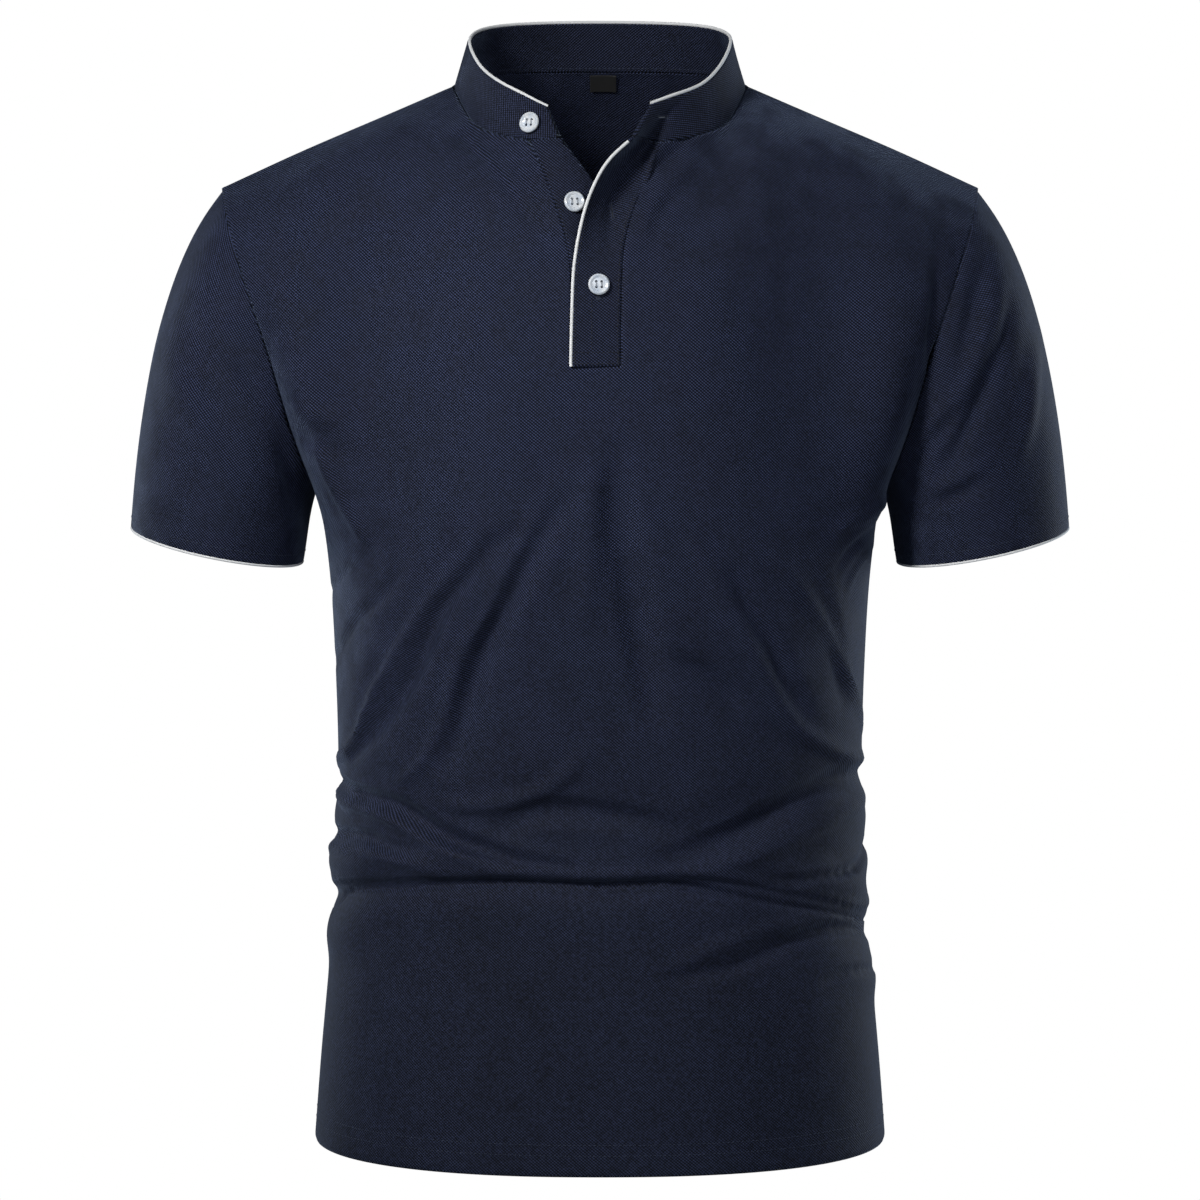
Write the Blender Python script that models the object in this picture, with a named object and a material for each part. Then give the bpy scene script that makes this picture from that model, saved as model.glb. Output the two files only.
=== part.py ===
"""A short-sleeved piqué shirt with a band collar and a buttoned placket, filled out as it is worn.

Metres, +Z up. The front faces -Y and +X is the wearer's left. The origin lies midway between the two high
points of the shoulders, where the neckline meets the shoulder seams. Each sewn piece is a wall of cloth.
Front and back are grids of points: below the armpits they follow level sections of the body, and above
them each column is one smooth arc up to the shoulder seam or the neckline. The sleeves, the collar band
and the placket strips start from the points of the edges that they are sewn to.
"""

import math

import bmesh
import bpy
import numpy as np
from mathutils import Matrix, Vector

# --- driving dimensions -------------------------------------------------------------------------------
CLOTH = 0.0015  # wall of the single cloth with its seam allowances
BAND_CLOTH = 0.0022  # the collar band is two layers
SEAM_GAP = 0.0003  # between neighbouring pieces
HEM = -0.652  # height of the bottom hem
ARMPIT = -0.247
ARMPIT_DIP = 0.035  # how much lower the armpit row runs across the chest
SQUARENESS = 2.3  # exponent of the body's level sections: 2 is an ellipse
PIPING_RADIUS = 0.0010
CUFF_PIPING_RADIUS = 0.0008
LABEL_WIDTH, LABEL_LENGTH, LABEL_CLOTH = 0.0170, 0.0130, 0.0010
LABEL_LEFT = 0.0105  # its edge on the wearer's left
LABEL_CLEARANCE = 0.0006

# Level sections of the body, from the hem up.
SECTIONS = (  # height, half width, front depth, back depth
    (-0.652, 0.1790, 0.116, 0.122),
    (-0.600, 0.1748, 0.113, 0.116),
    (-0.550, 0.1700, 0.109, 0.107),
    (-0.500, 0.1655, 0.106, 0.098),
    (-0.450, 0.1632, 0.105, 0.091),
    (-0.400, 0.1630, 0.107, 0.089),
    (-0.350, 0.1645, 0.112, 0.094),
    (-0.300, 0.1672, 0.118, 0.104),
    (-0.247, 0.1735, 0.122, 0.112),
)

# The waist crease, which the rows of the grid follow: it is highest over the belly and the small of the back.
WAIST_CREASE = (  # degrees round from centre front, height
    (-180, -0.500),
    (-130, -0.494),
    (-90, -0.499),
    (-72, -0.493),
    (-52, -0.481),
    (-20, -0.476),
    (0, -0.480),
    (25, -0.477),
    (52, -0.490),
    (72, -0.506),
    (90, -0.517),
    (130, -0.498),
    (180, -0.500),
)

# Armhole of the wearer's right side, from the shoulder point down to the armpit; x is mirrored on the left.
ARMHOLE_FRONT = (  # x, y, z
    (-0.2320, 0.000, -0.0615),
    (-0.2265, -0.034, -0.0790),
    (-0.2150, -0.054, -0.1150),
    (-0.2000, -0.061, -0.1600),
    (-0.1880, -0.054, -0.2030),
    (-0.1780, -0.032, -0.2360),
    (-0.1735, 0.000, -0.2470),
)
ARMHOLE_BACK = (  # x, y, z
    (-0.2320, 0.000, -0.0615),
    (-0.2285, 0.034, -0.0790),
    (-0.2200, 0.056, -0.1150),
    (-0.2070, 0.064, -0.1600),
    (-0.1930, 0.056, -0.2030),
    (-0.1800, 0.033, -0.2360),
    (-0.1735, 0.000, -0.2470),
)

# Upper edges of the panels, from the shoulder point to the high point of the shoulder and along the neckline.
# The surface there leans back from upright by "tilt" degrees, towards the plan direction "heading".
SHOULDER = (  # x, y, z, tilt, heading
    (-0.2320, 0.000, -0.0615, 30, 180),
    (-0.1850, 0.000, -0.0400, 24, 180),
    (-0.1350, 0.000, -0.0190, 23, 180),
    (-0.0905, 0.000, 0.0000, 24, 190),
)
FRONT_NECK = (  # x, y, z, tilt, heading
    (-0.0905, 0.000, 0.0000, 24, 190),
    (-0.0850, -0.022, -0.0100, 30, 205),
    (-0.0752, -0.050, -0.0240, 38, 225),
    (-0.0610, -0.070, -0.0300, 48, 245),
    (-0.0435, -0.0808, -0.0330, 55, 258),
)
BACK_NECK = (  # x, y, z, tilt, heading
    (-0.0905, 0.000, 0.0000, 24, 170),
    (-0.0860, 0.024, 0.0050, 28, 155),
    (-0.0710, 0.048, 0.0085, 36, 135),
    (-0.0420, 0.065, 0.0102, 44, 110),
    (0.0000, 0.0705, 0.0105, 48, 90),
)

# Edges of the slot that the placket fills, from its foot up to the neckline.
SLOT_RIGHT_SIDE = (  # x, y, z; the wearer's right, where the under placket is sewn
    (-0.0175, -0.1215, -0.1655),
    (-0.0172, -0.1180, -0.1300),
    (-0.0175, -0.1120, -0.1020),
    (-0.0212, -0.1070, -0.0860),
    (-0.0282, -0.0992, -0.0660),
    (-0.0356, -0.0892, -0.0470),
    (-0.0435, -0.0808, -0.0330),
)
SLOT_LEFT_SIDE = (  # x, y, z; the wearer's left, where the over placket is sewn
    (0.0125, -0.1215, -0.1655),
    (0.0127, -0.1180, -0.1300),
    (0.0132, -0.1140, -0.1120),
    (0.0145, -0.1080, -0.0920),
    (0.0208, -0.0995, -0.0700),
    (0.0290, -0.0905, -0.0490),
    (0.0355, -0.0830, -0.0345),
)

# Free edges of the two placket strips, which fall open above the second button.
OVER_FREE_EDGE = (  # x, y, z, trough: how far the strip sinks between its seam and this edge
    (-0.0164, -0.1235, -0.1655, 0.0000),
    (-0.0156, -0.1200, -0.1300, 0.0000),
    (-0.0146, -0.1165, -0.1080, 0.0005),
    (-0.0114, -0.1130, -0.0880, 0.0030),
    (-0.0050, -0.1090, -0.0650, 0.0080),
    (0.0055, -0.1050, -0.0455, 0.0125),
    (0.0210, -0.1000, -0.0315, 0.0130),
)
UNDER_FREE_EDGE = (  # x, y, z, trough
    (0.0110, -0.1178, -0.1625, 0.0000),
    (0.0112, -0.1140, -0.1300, 0.0000),
    (0.0100, -0.1090, -0.1080, 0.0000),
    (0.0065, -0.1000, -0.0850, 0.0000),
    (0.0005, -0.0930, -0.0640, -0.0015),
    (-0.0120, -0.0890, -0.0465, -0.0030),
    (-0.0228, -0.0855, -0.0318, -0.0030),
)

# Top edge of the collar band, from its end at the wearer's right round the back to its left end.
BAND_TOP = (  # x, y, z
    (-0.0310, -0.0765, -0.0135),
    (-0.0430, -0.0735, -0.0078),
    (-0.0600, -0.0605, 0.0005),
    (-0.0715, -0.0430, 0.0090),
    (-0.0785, -0.0220, 0.0195),
    (-0.0812, 0.0000, 0.0285),
    (-0.0770, 0.0250, 0.0345),
    (-0.0630, 0.0445, 0.0380),
    (-0.0380, 0.0575, 0.0398),
    (0.0000, 0.0625, 0.0405),
    (0.0380, 0.0575, 0.0398),
    (0.0630, 0.0445, 0.0380),
    (0.0770, 0.0250, 0.0345),
    (0.0812, 0.0000, 0.0285),
    (0.0785, -0.0220, 0.0195),
    (0.0715, -0.0430, 0.0085),
    (0.0620, -0.0600, -0.0005),
    (0.0460, -0.0760, -0.0070),
    (0.0305, -0.0860, -0.0120),
)

# Sleeve of the wearer's right arm: where each line of cloth ends at the cuff, and how it sets off.
CUFF_CENTRE = (-0.2367, -0.001, -0.2805)
CUFF_HALF_WIDTH = 0.0535
CUFF_HALF_DEPTH = 0.0565
CUFF_LIFT = 0.0112  # the outer side is this much higher than the middle
CUFF_FORWARD_DROP = 0.0030
SLEEVE_LINES = (  # degrees round: 0 top, 90 front, 180 under, 270 back; start direction xyz, end direction xyz
    (0, -0.120, 0.000, -0.130, -0.016, 0.000, -0.210),
    (45, -0.095, -0.050, -0.120, -0.014, 0.005, -0.190),
    (90, -0.045, -0.030, -0.110, -0.030, 0.010, -0.120),
    (135, -0.030, -0.022, -0.046, -0.018, -0.005, -0.055),
    (180, -0.016, 0.000, -0.040, -0.008, 0.000, -0.044),
    (225, -0.030, 0.024, -0.046, -0.018, 0.005, -0.055),
    (270, -0.050, 0.035, -0.110, -0.028, -0.012, -0.120),
    (315, -0.100, 0.052, -0.120, -0.014, -0.008, -0.190),
    (360, -0.120, 0.000, -0.130, -0.016, 0.000, -0.210),
)

# Grid counts.
SHOULDER_CELLS = 8
FRONT_NECK_CELLS = 8
BACK_NECK_CELLS = 5
ROWS_BELOW_CREASE = 11
ROWS_TO_ARMPIT = 17
ROWS_ABOVE_ARMPIT = 16
SLEEVE_CELLS = 10
BAND_CELLS = 4
STRIP_CELLS = 5


# --- curves and grids -----------------------------------------------------------------------------------
def smooth(knots, values, at):
    """The value at each place of a smooth curve through the table's rows."""
    knots, values, at = (np.asarray(item, float) for item in (knots, values, at))
    slopes = np.gradient(values, knots, axis=0)
    row = np.clip(np.searchsorted(knots, at, side="right") - 1, 0, len(knots) - 2)
    span = knots[row + 1] - knots[row]
    t = np.clip((at - knots[row]) / span, 0, 1)
    if values.ndim > 1:
        t, span = t[..., None], span[..., None]
    return hermite(values[row], values[row + 1], slopes[row] * span, slopes[row + 1] * span, t)


def hermite(start, end, start_slope, end_slope, t):
    """A cubic arc between two places, with its directions at both ends."""
    return (
        start * (2 * t**3 - 3 * t**2 + 1)
        + start_slope * (t**3 - 2 * t**2 + t)
        + end * (3 * t**2 - 2 * t**3)
        + end_slope * (t**3 - t**2)
    )


def along(table, fractions):
    """Points of a smooth curve through the table's rows, at fractions of its length."""
    rows = np.array(table, float)
    lengths = np.linalg.norm(np.diff(rows[:, :3], axis=0), axis=1)
    knots = np.concatenate([[0], np.cumsum(lengths)]) / lengths.sum()
    return smooth(knots, rows, fractions)


def unit(vectors):
    return vectors / np.maximum(np.linalg.norm(vectors, axis=-1, keepdims=True), 1e-12)


def mirrored(table):
    """The same rows for the wearer's left side, with the heading turned too where there is one."""
    turned = []
    for row in table:
        row = list(row)
        row[0] = -row[0]
        if len(row) > 4:
            row[4] = 180 - row[4]
        turned.append(row)
    return turned


def grid_normals(points):
    """Unit normals of a grid of points; it is ordered so that they point out of the cloth."""
    across = np.gradient(points, axis=0)
    up = np.gradient(points, axis=1)
    return unit(np.cross(across, up))


def blend_weight(steps, reach):
    """1 at an edge, falling smoothly to 0 after a number of grid steps."""
    t = np.clip(1 - np.asarray(steps, float) / reach, 0, 1)
    return t * t * (3 - 2 * t)


# --- folds ------------------------------------------------------------------------------------------------
# Places on the body are degrees round from centre front (negative to the wearer's right) and a height.
BODY_WIDTH, BODY_DEPTH = 0.172, 0.115  # the mean section, which turns a place into degrees
BODY_PER_DEGREE = 0.0026
FOLDS = (  # depth (a trough is negative), half width, then degrees and height at start, middle and end
    # Drags from the chest down to the wearer's right side.
    (-0.0022, 0.013, -54, -0.280, -62, -0.288, -72, -0.302),
    (-0.0025, 0.012, -44, -0.276, -53, -0.300, -66, -0.326),
    (-0.0045, 0.014, -18, -0.250, -33, -0.297, -58, -0.372),
    (-0.0045, 0.014, -8, -0.228, -21, -0.303, -30, -0.390),
    (0.0035, 0.015, -38, -0.300, -51, -0.337, -70, -0.398),
    (0.0035, 0.013, -14, -0.248, -28, -0.313, -46, -0.411),
    (0.0030, 0.018, -2, -0.226, -11, -0.269, -18, -0.312),
    (-0.0020, 0.020, 1, -0.240, 3, -0.285, 8, -0.372),
    # Drags from the chest down to the wearer's left side.
    (-0.0035, 0.016, 20, -0.266, 31, -0.322, 45, -0.380),
    (-0.0020, 0.012, 16, -0.338, 26, -0.349, 37, -0.372),
    (0.0035, 0.016, 24, -0.288, 40, -0.354, 68, -0.402),
    (0.0030, 0.014, 36, -0.272, 56, -0.330, 72, -0.382),
    (0.0030, 0.012, 78, -0.252, 62, -0.259, 50, -0.275),
    (-0.0025, 0.012, 80, -0.276, 66, -0.284, 54, -0.305),
    # Round the waist, above the long crease.
    (-0.0035, 0.014, -78, -0.420, -42, -0.428, -4, -0.464),
    (-0.0030, 0.011, -84, -0.452, -58, -0.452, -38, -0.460),
    (0.0055, 0.010, -58, -0.466, -90, -0.475, -122, -0.470),
    (0.0035, 0.010, -66, -0.438, -90, -0.450, -115, -0.446),
    (-0.0040, 0.018, 70, -0.406, 40, -0.423, 8, -0.466),
    (-0.0030, 0.011, 34, -0.474, 52, -0.466, 84, -0.470),
    (0.0040, 0.012, 66, -0.442, 90, -0.449, 116, -0.442),
    (0.0045, 0.011, 64, -0.484, 90, -0.480, 120, -0.484),
    (-0.0025, 0.022, -24, -0.433, -4, -0.424, 16, -0.437),
    # Below the crease.
    (0.0040, 0.018, -58, -0.514, -88, -0.524, -118, -0.520),
    (-0.0030, 0.014, 92, -0.530, 48, -0.511, 14, -0.536),
    (0.0035, 0.014, 60, -0.540, 90, -0.552, 118, -0.548),
    # On the back: drags from the shoulder blades and folds round the small of the back.
    (-0.0040, 0.016, -156, -0.250, -140, -0.310, -118, -0.370),
    (0.0035, 0.016, -164, -0.270, -150, -0.335, -128, -0.400),
    (-0.0035, 0.016, 158, -0.240, 144, -0.305, 120, -0.362),
    (0.0030, 0.015, 170, -0.262, 152, -0.330, 132, -0.392),
    (-0.0025, 0.020, -178, -0.230, -176, -0.300, -172, -0.370),
    (-0.0045, 0.014, -100, -0.418, -140, -0.432, -182, -0.420),
    (0.0040, 0.013, -108, -0.440, -146, -0.452, -186, -0.446),
    (-0.0035, 0.012, 172, -0.452, 140, -0.458, 104, -0.446),
    (-0.0040, 0.015, 176, -0.400, 148, -0.412, 112, -0.404),
    (-0.0030, 0.014, -120, -0.532, -150, -0.520, -184, -0.540),
    (0.0030, 0.016, 170, -0.530, 145, -0.538, 118, -0.524),
    # Shoulder and neck: soft drags towards the armholes and the placket.
    (-0.0018, 0.014, -37, -0.034, -26, -0.062, -14, -0.092),
    (-0.0020, 0.014, -66, -0.190, -54, -0.216, -44, -0.250),
    (-0.0022, 0.014, 68, -0.120, 62, -0.160, 62, -0.206),
    (-0.0018, 0.014, 32, -0.040, 24, -0.072, 18, -0.104),
)
CREASE_STRENGTH = (  # degrees round, share of the full depth
    (-180, 0.55),
    (-120, 0.75),
    (-90, 0.90),
    (-40, 1.00),
    (0, 0.80),
    (40, 0.65),
    (70, 0.45),
    (90, 0.60),
    (130, 0.70),
    (180, 0.55),
)
# On a sleeve, degrees round are 0 outwards, 90 to the front and 180 towards the body.
SLEEVE_PER_DEGREE = 0.0010
SLEEVE_LEAN = 0.27  # the line that these degrees go round leans out this much for each metre up
SLEEVE_FOLDS = (  # side, depth, half width, then degrees and height at start, middle and end
    (-1, -0.0028, 0.013, 100, -0.160, 122, -0.185, 146, -0.215),
    (-1, -0.0022, 0.014, 60, -0.170, 84, -0.200, 102, -0.238),
    (-1, 0.0020, 0.014, 78, -0.155, 100, -0.190, 118, -0.232),
    (-1, -0.0025, 0.014, 262, -0.150, 236, -0.190, 214, -0.235),
    (1, -0.0030, 0.013, 70, -0.125, 92, -0.160, 124, -0.196),
    (1, 0.0026, 0.013, 48, -0.120, 72, -0.165, 104, -0.205),
    (1, -0.0024, 0.013, 44, -0.160, 74, -0.205, 112, -0.235),
    (1, -0.0025, 0.014, 266, -0.140, 240, -0.185, 216, -0.232),
)


def bump(distance):
    """A soft round hump: 1 in the middle, 0 at a distance of 1 and beyond."""
    return np.cos(np.clip(distance, -1, 1) * math.pi / 2) ** 2


def degrees_round(points):
    return np.degrees(np.arctan2(points[..., 0] / BODY_WIDTH, -points[..., 1] / BODY_DEPTH))


def degrees_round_arm(points, side):
    line = -CUFF_CENTRE[0] + (points[..., 2] - CUFF_CENTRE[2]) * SLEEVE_LEAN
    return np.degrees(np.arctan2(-points[..., 1], side * points[..., 0] - line))


def crease_height(degrees):
    table = np.array(WAIST_CREASE, float)
    return smooth(table[:, 0], table[:, 1], degrees)


def waist_crease(degrees, height):
    """The cloth hangs over in a roll above the crease, tucks in sharply and runs out below it."""
    table = np.array(CREASE_STRENGTH, float)
    above = height - crease_height(degrees)
    tuck = -0.0035 * bump(above / 0.009)
    roll = 0.0045 * bump((above - 0.013) / 0.015)
    runout = 0.0010 * bump((above + 0.018) / 0.016)
    return smooth(table[:, 0], table[:, 1], degrees) * (tuck + roll + runout)


def fold_depth(fold, degrees, height, per_degree):
    """How far one fold lifts each place of the cloth."""
    depth, half_width, *ends = fold
    stops = np.array(ends, float).reshape(3, 2) * (per_degree, 1)
    middle = 2 * stops[1] - (stops[0] + stops[2]) / 2
    round_trip = 360 * per_degree
    nearest = np.full(degrees.shape, np.inf)
    fade = np.zeros(degrees.shape)
    for t in np.linspace(0, 1, 25):
        place = stops[0] * (1 - t) ** 2 + middle * 2 * t * (1 - t) + stops[2] * t**2
        turn = (degrees * per_degree - place[0] + round_trip / 2) % round_trip - round_trip / 2
        away = np.hypot(turn, height - place[1])
        fade = np.where(away < nearest, math.sin(math.pi * (0.06 + 0.88 * t)) ** 0.7, fade)
        nearest = np.minimum(nearest, away)
    return depth * bump(nearest / half_width) * fade


def body_folds(points):
    degrees, height = degrees_round(points), points[..., 2]
    lift = waist_crease(degrees, height)
    for fold in FOLDS:
        lift = lift + fold_depth(fold, degrees, height, BODY_PER_DEGREE)
    return lift


def sleeve_folds(points, side):
    degrees, height = degrees_round_arm(points, side), points[..., 2]
    folds = [fold for fold_side, *fold in SLEEVE_FOLDS if fold_side == side]
    return sum(fold_depth(fold, degrees, height, SLEEVE_PER_DEGREE) for fold in folds)


# --- the panels -------------------------------------------------------------------------------------------
def section_point(degrees, height):
    """A point of the body's level section."""
    table = np.array(SECTIONS, float)
    half_width, front, back = np.moveaxis(smooth(table[:, 0], table[:, 1:], height), -1, 0)
    across = np.sin(np.radians(degrees))
    depth = np.maximum(1 - np.abs(across) ** SQUARENESS, 0) ** (1 / SQUARENESS)
    in_front = np.cos(np.radians(degrees)) > 0
    return np.stack([half_width * across, np.where(in_front, -front, back) * depth, height], axis=-1)


def armpit_height(degrees):
    """The armpit row dips across the chest, so that it leaves the armpit between side seam and armhole."""
    reach = np.clip(np.abs(np.cos(np.radians(degrees))) / 0.7, 0, 1)
    return ARMPIT - ARMPIT_DIP * np.sin(reach * math.pi / 2)


def even_degrees(shares):
    """Degrees round for even steps along a section, from -1 at one side seam to 1 at the other."""
    shares = np.asarray(shares, float)
    return 90 * shares - 7 * np.sin(math.pi * shares)


def lower_panel(degrees):
    """Columns from the hem to the armpit row. The rows crowd together at the waist crease."""
    degrees = np.asarray(degrees, float)[:, None]
    signed = (degrees + 180) % 360 - 180
    crease = crease_height(signed)
    below = 1 - (1 - np.arange(ROWS_BELOW_CREASE) / ROWS_BELOW_CREASE) ** 1.3
    above = (np.arange(ROWS_TO_ARMPIT + 1) / ROWS_TO_ARMPIT) ** 1.35
    height = np.concatenate(
        [HEM + (crease - HEM) * below, crease + (armpit_height(signed) - crease) * above], axis=1
    )
    return section_point(degrees + 0 * height, height)


def edge_arrival(edge, outward):
    """Directions in which columns meet an upper edge: over the shoulder, and turning in towards the neck."""
    tilt, heading = np.radians(edge[:, 3]), np.radians(edge[:, 4])
    normal = np.stack([np.sin(tilt) * np.cos(heading), np.sin(tilt) * np.sin(heading), np.cos(tilt)], axis=1)
    neckward = -0.6 * np.sign(edge[0, 0]) * np.sin(np.linspace(0, math.pi, len(edge)))
    toward = np.stack([neckward, np.full(len(edge), -outward), np.zeros(len(edge))], axis=1)
    return unit(toward - normal * np.sum(normal * toward, axis=1, keepdims=True))


def upper_columns(start, start_slope, edge, armhole, outward):
    """Columns from the armpit row up to the shoulder seam and neckline; the first one is the armhole.

    "outward" is -1 on the front and 1 on the back: the cloth swings out over the root of the arm.
    """
    rise = np.linalg.norm(edge[:, :3] - start, axis=1, keepdims=True)
    arm_side = blend_weight(np.arange(len(start)), 7)[:, None]
    swing = np.array([0, 0.7 * outward, 0])
    departure = unit(start_slope + swing * arm_side) * rise * (1 + 0.2 * arm_side)
    arrival = edge_arrival(edge, outward) * rise * (1.00 - 0.05 * arm_side)
    t = (np.arange(ROWS_ABOVE_ARMPIT + 1) / ROWS_ABOVE_ARMPIT)[None, :, None]
    columns = hermite(start[:, None], edge[:, None, :3], departure[:, None], arrival[:, None], t)
    return pulled_to(columns, armhole, np.arange(len(start)), 7)


def relaxed(points, rounds, first_row):
    """Evens out a grid above a row without shrinking it; its edges stay where they are."""
    points = points.copy()
    for step in range(2 * rounds):
        share = 0.5 if step % 2 == 0 else -0.52
        inside = points[1:-1, first_row:-1]
        around = (
            points[:-2, first_row:-1]
            + points[2:, first_row:-1]
            + points[1:-1, first_row - 1 : -2]
            + points[1:-1, first_row + 1 :]
        ) / 4
        points[1:-1, first_row:-1] = inside + (around - inside) * share
    return points


def pulled_to(columns, line, steps, reach):
    """The columns moved so that the one at step 0 lies on a given line, and its neighbours go with it."""
    shift = line - columns[list(steps).index(0)]
    return columns + shift[None] * blend_weight(steps, reach)[:, None, None]


def half_panel(degrees, edge_tables, armhole_table, cells):
    """One half of a panel: its columns run from the side seam inwards."""
    lower = lower_panel(degrees)
    start = lower[:, -1]
    slope = unit(section_point(degrees, start[:, 2] + 0.01) - section_point(degrees, start[:, 2] - 0.01))
    shoulder, neck = (along(table, np.linspace(0, 1, count + 1)) for table, count in zip(edge_tables, cells))
    edge = np.concatenate([shoulder, neck[1:]])
    armhole = along(armhole_table, np.linspace(1, 0, ROWS_ABOVE_ARMPIT + 1))
    outward = -1 if math.cos(math.radians(degrees[0] * 0.5 + degrees[-1] * 0.5)) > 0 else 1
    upper = upper_columns(start, slope, edge, armhole, outward)
    return relaxed(np.concatenate([lower, upper[:, 1:]], axis=1), 120, ARMPIT_ROW - 5)


FOOT_ROW = ROWS_BELOW_CREASE + ROWS_TO_ARMPIT + ROWS_ABOVE_ARMPIT // 2
ARMPIT_ROW = ROWS_BELOW_CREASE + ROWS_TO_ARMPIT
FRONT_HALF = SHOULDER_CELLS + FRONT_NECK_CELLS
BACK_HALF = SHOULDER_CELLS + BACK_NECK_CELLS
SLOT_SHARES = (-0.088, 0.063)  # places of the slot's two edges along the section


def front_half(side):
    """Half of the front; side is -1 for the wearer's right and 1 for the left."""
    slot_table = SLOT_RIGHT_SIDE if side < 0 else SLOT_LEFT_SIDE
    tables = (SHOULDER, FRONT_NECK), ARMHOLE_FRONT
    if side > 0:
        neck = mirrored(FRONT_NECK)
        neck[-1][:3] = SLOT_LEFT_SIDE[-1]
        tables = (mirrored(SHOULDER), neck), mirrored(ARMHOLE_FRONT)
    share = SLOT_SHARES[0] if side < 0 else SLOT_SHARES[1]
    degrees = even_degrees(np.linspace(side, share, FRONT_HALF + 1))
    half = half_panel(degrees, *tables, (SHOULDER_CELLS, FRONT_NECK_CELLS))
    # The innermost column runs straight up to the slot's foot, then follows the slot's edge.
    inner = half[-1].copy()
    foot, start = np.array(slot_table[0]), inner[ARMPIT_ROW]
    t = np.linspace(0, 1, FOOT_ROW - ARMPIT_ROW + 1)[:, None]
    rise = foot[2] - start[2]
    inner[ARMPIT_ROW : FOOT_ROW + 1] = hermite(
        start, foot, np.array([0, -0.02 * rise, rise]), np.array([0, 0.06 * rise, rise]), t
    )
    inner[FOOT_ROW:] = along(slot_table, np.linspace(0, 1, half.shape[1] - FOOT_ROW))
    half[:, ARMPIT_ROW:] = pulled_to(half[:, ARMPIT_ROW:], inner[ARMPIT_ROW:], np.arange(FRONT_HALF, -1, -1), 8)
    return relaxed(half, 30, ARMPIT_ROW - 5)


def front_grid():
    """All columns of the front, from the wearer's right side seam to the left, with one under the slot."""
    right, left = front_half(-1), front_half(1)[::-1]
    middle = (right[-1] + left[0]) / 2
    share = sum(SLOT_SHARES) / 2
    middle[: ARMPIT_ROW + 1] = lower_panel(even_degrees([share]))[0]
    return np.concatenate([right, middle[None], left])


def back_grid():
    """All columns of the back, from the wearer's left side seam to the right."""
    degrees = 180 + even_degrees(np.linspace(-1, 0, BACK_HALF + 1))
    cells = (SHOULDER_CELLS, BACK_NECK_CELLS)
    left = half_panel(degrees, (mirrored(SHOULDER), mirrored(BACK_NECK)), mirrored(ARMHOLE_BACK), cells)
    right = half_panel(360 - degrees, (SHOULDER, BACK_NECK), ARMHOLE_BACK, cells)
    return np.concatenate([left, right[-2::-1]])


def armhole_loop(front, back, side):
    """The armhole from the shoulder point down its front to the armpit and up its back."""
    front_edge = (front[0] if side < 0 else front[-1])[ARMPIT_ROW:][::-1]
    back_edge = (back[-1] if side < 0 else back[0])[ARMPIT_ROW:]
    return np.concatenate([front_edge, back_edge[1:-1]])


def seam_fade(points, loops):
    """0 on an armhole seam, where body and sleeve share their points, rising to 1 a little way off."""
    away = np.full(points.shape[:-1], np.inf)
    for loop in loops:
        for place in loop:
            away = np.minimum(away, np.linalg.norm(points - place, axis=-1))
    return 1 - blend_weight(away, 0.035)


# --- sleeves ----------------------------------------------------------------------------------------------
def sleeve_grid(loop, side):
    """Lines of cloth from the armhole's points down to the cuff, all round the arm."""
    count = len(loop)
    degrees = np.arange(count) * 360 / count
    turn = np.radians(degrees)
    lines = np.array(SLEEVE_LINES, float)
    slopes = smooth(lines[:, 0], lines[:, 1:], degrees)
    cuff = np.stack(
        [
            CUFF_CENTRE[0] - CUFF_HALF_WIDTH * np.cos(turn),
            CUFF_CENTRE[1] - CUFF_HALF_DEPTH * np.sin(turn),
            CUFF_CENTRE[2] + CUFF_LIFT * np.cos(turn) - CUFF_FORWARD_DROP * np.sin(turn),
        ],
        axis=1,
    )
    mirror = np.array([-side, 1, 1])
    t = np.linspace(0, 1, SLEEVE_CELLS + 1)[None, :, None]
    cuff, start, end = cuff * mirror, slopes[:, :3] * mirror, slopes[:, 3:] * mirror
    return hermite(loop[:, None], cuff[:, None], start[:, None], end[:, None], t)


# --- walls ------------------------------------------------------------------------------------------------
def new_object(name, mesh, colour, roughness=0.85):
    material = bpy.data.materials.new(name + "_finish")
    material.use_nodes = True
    shader = material.node_tree.nodes["Principled BSDF"]
    shader.inputs["Base Color"].default_value = (*colour, 1)
    shader.inputs["Roughness"].default_value = roughness
    mesh.materials.append(material)
    piece = bpy.data.objects.new(name, mesh)
    bpy.context.scene.collection.objects.link(piece)
    return piece


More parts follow.
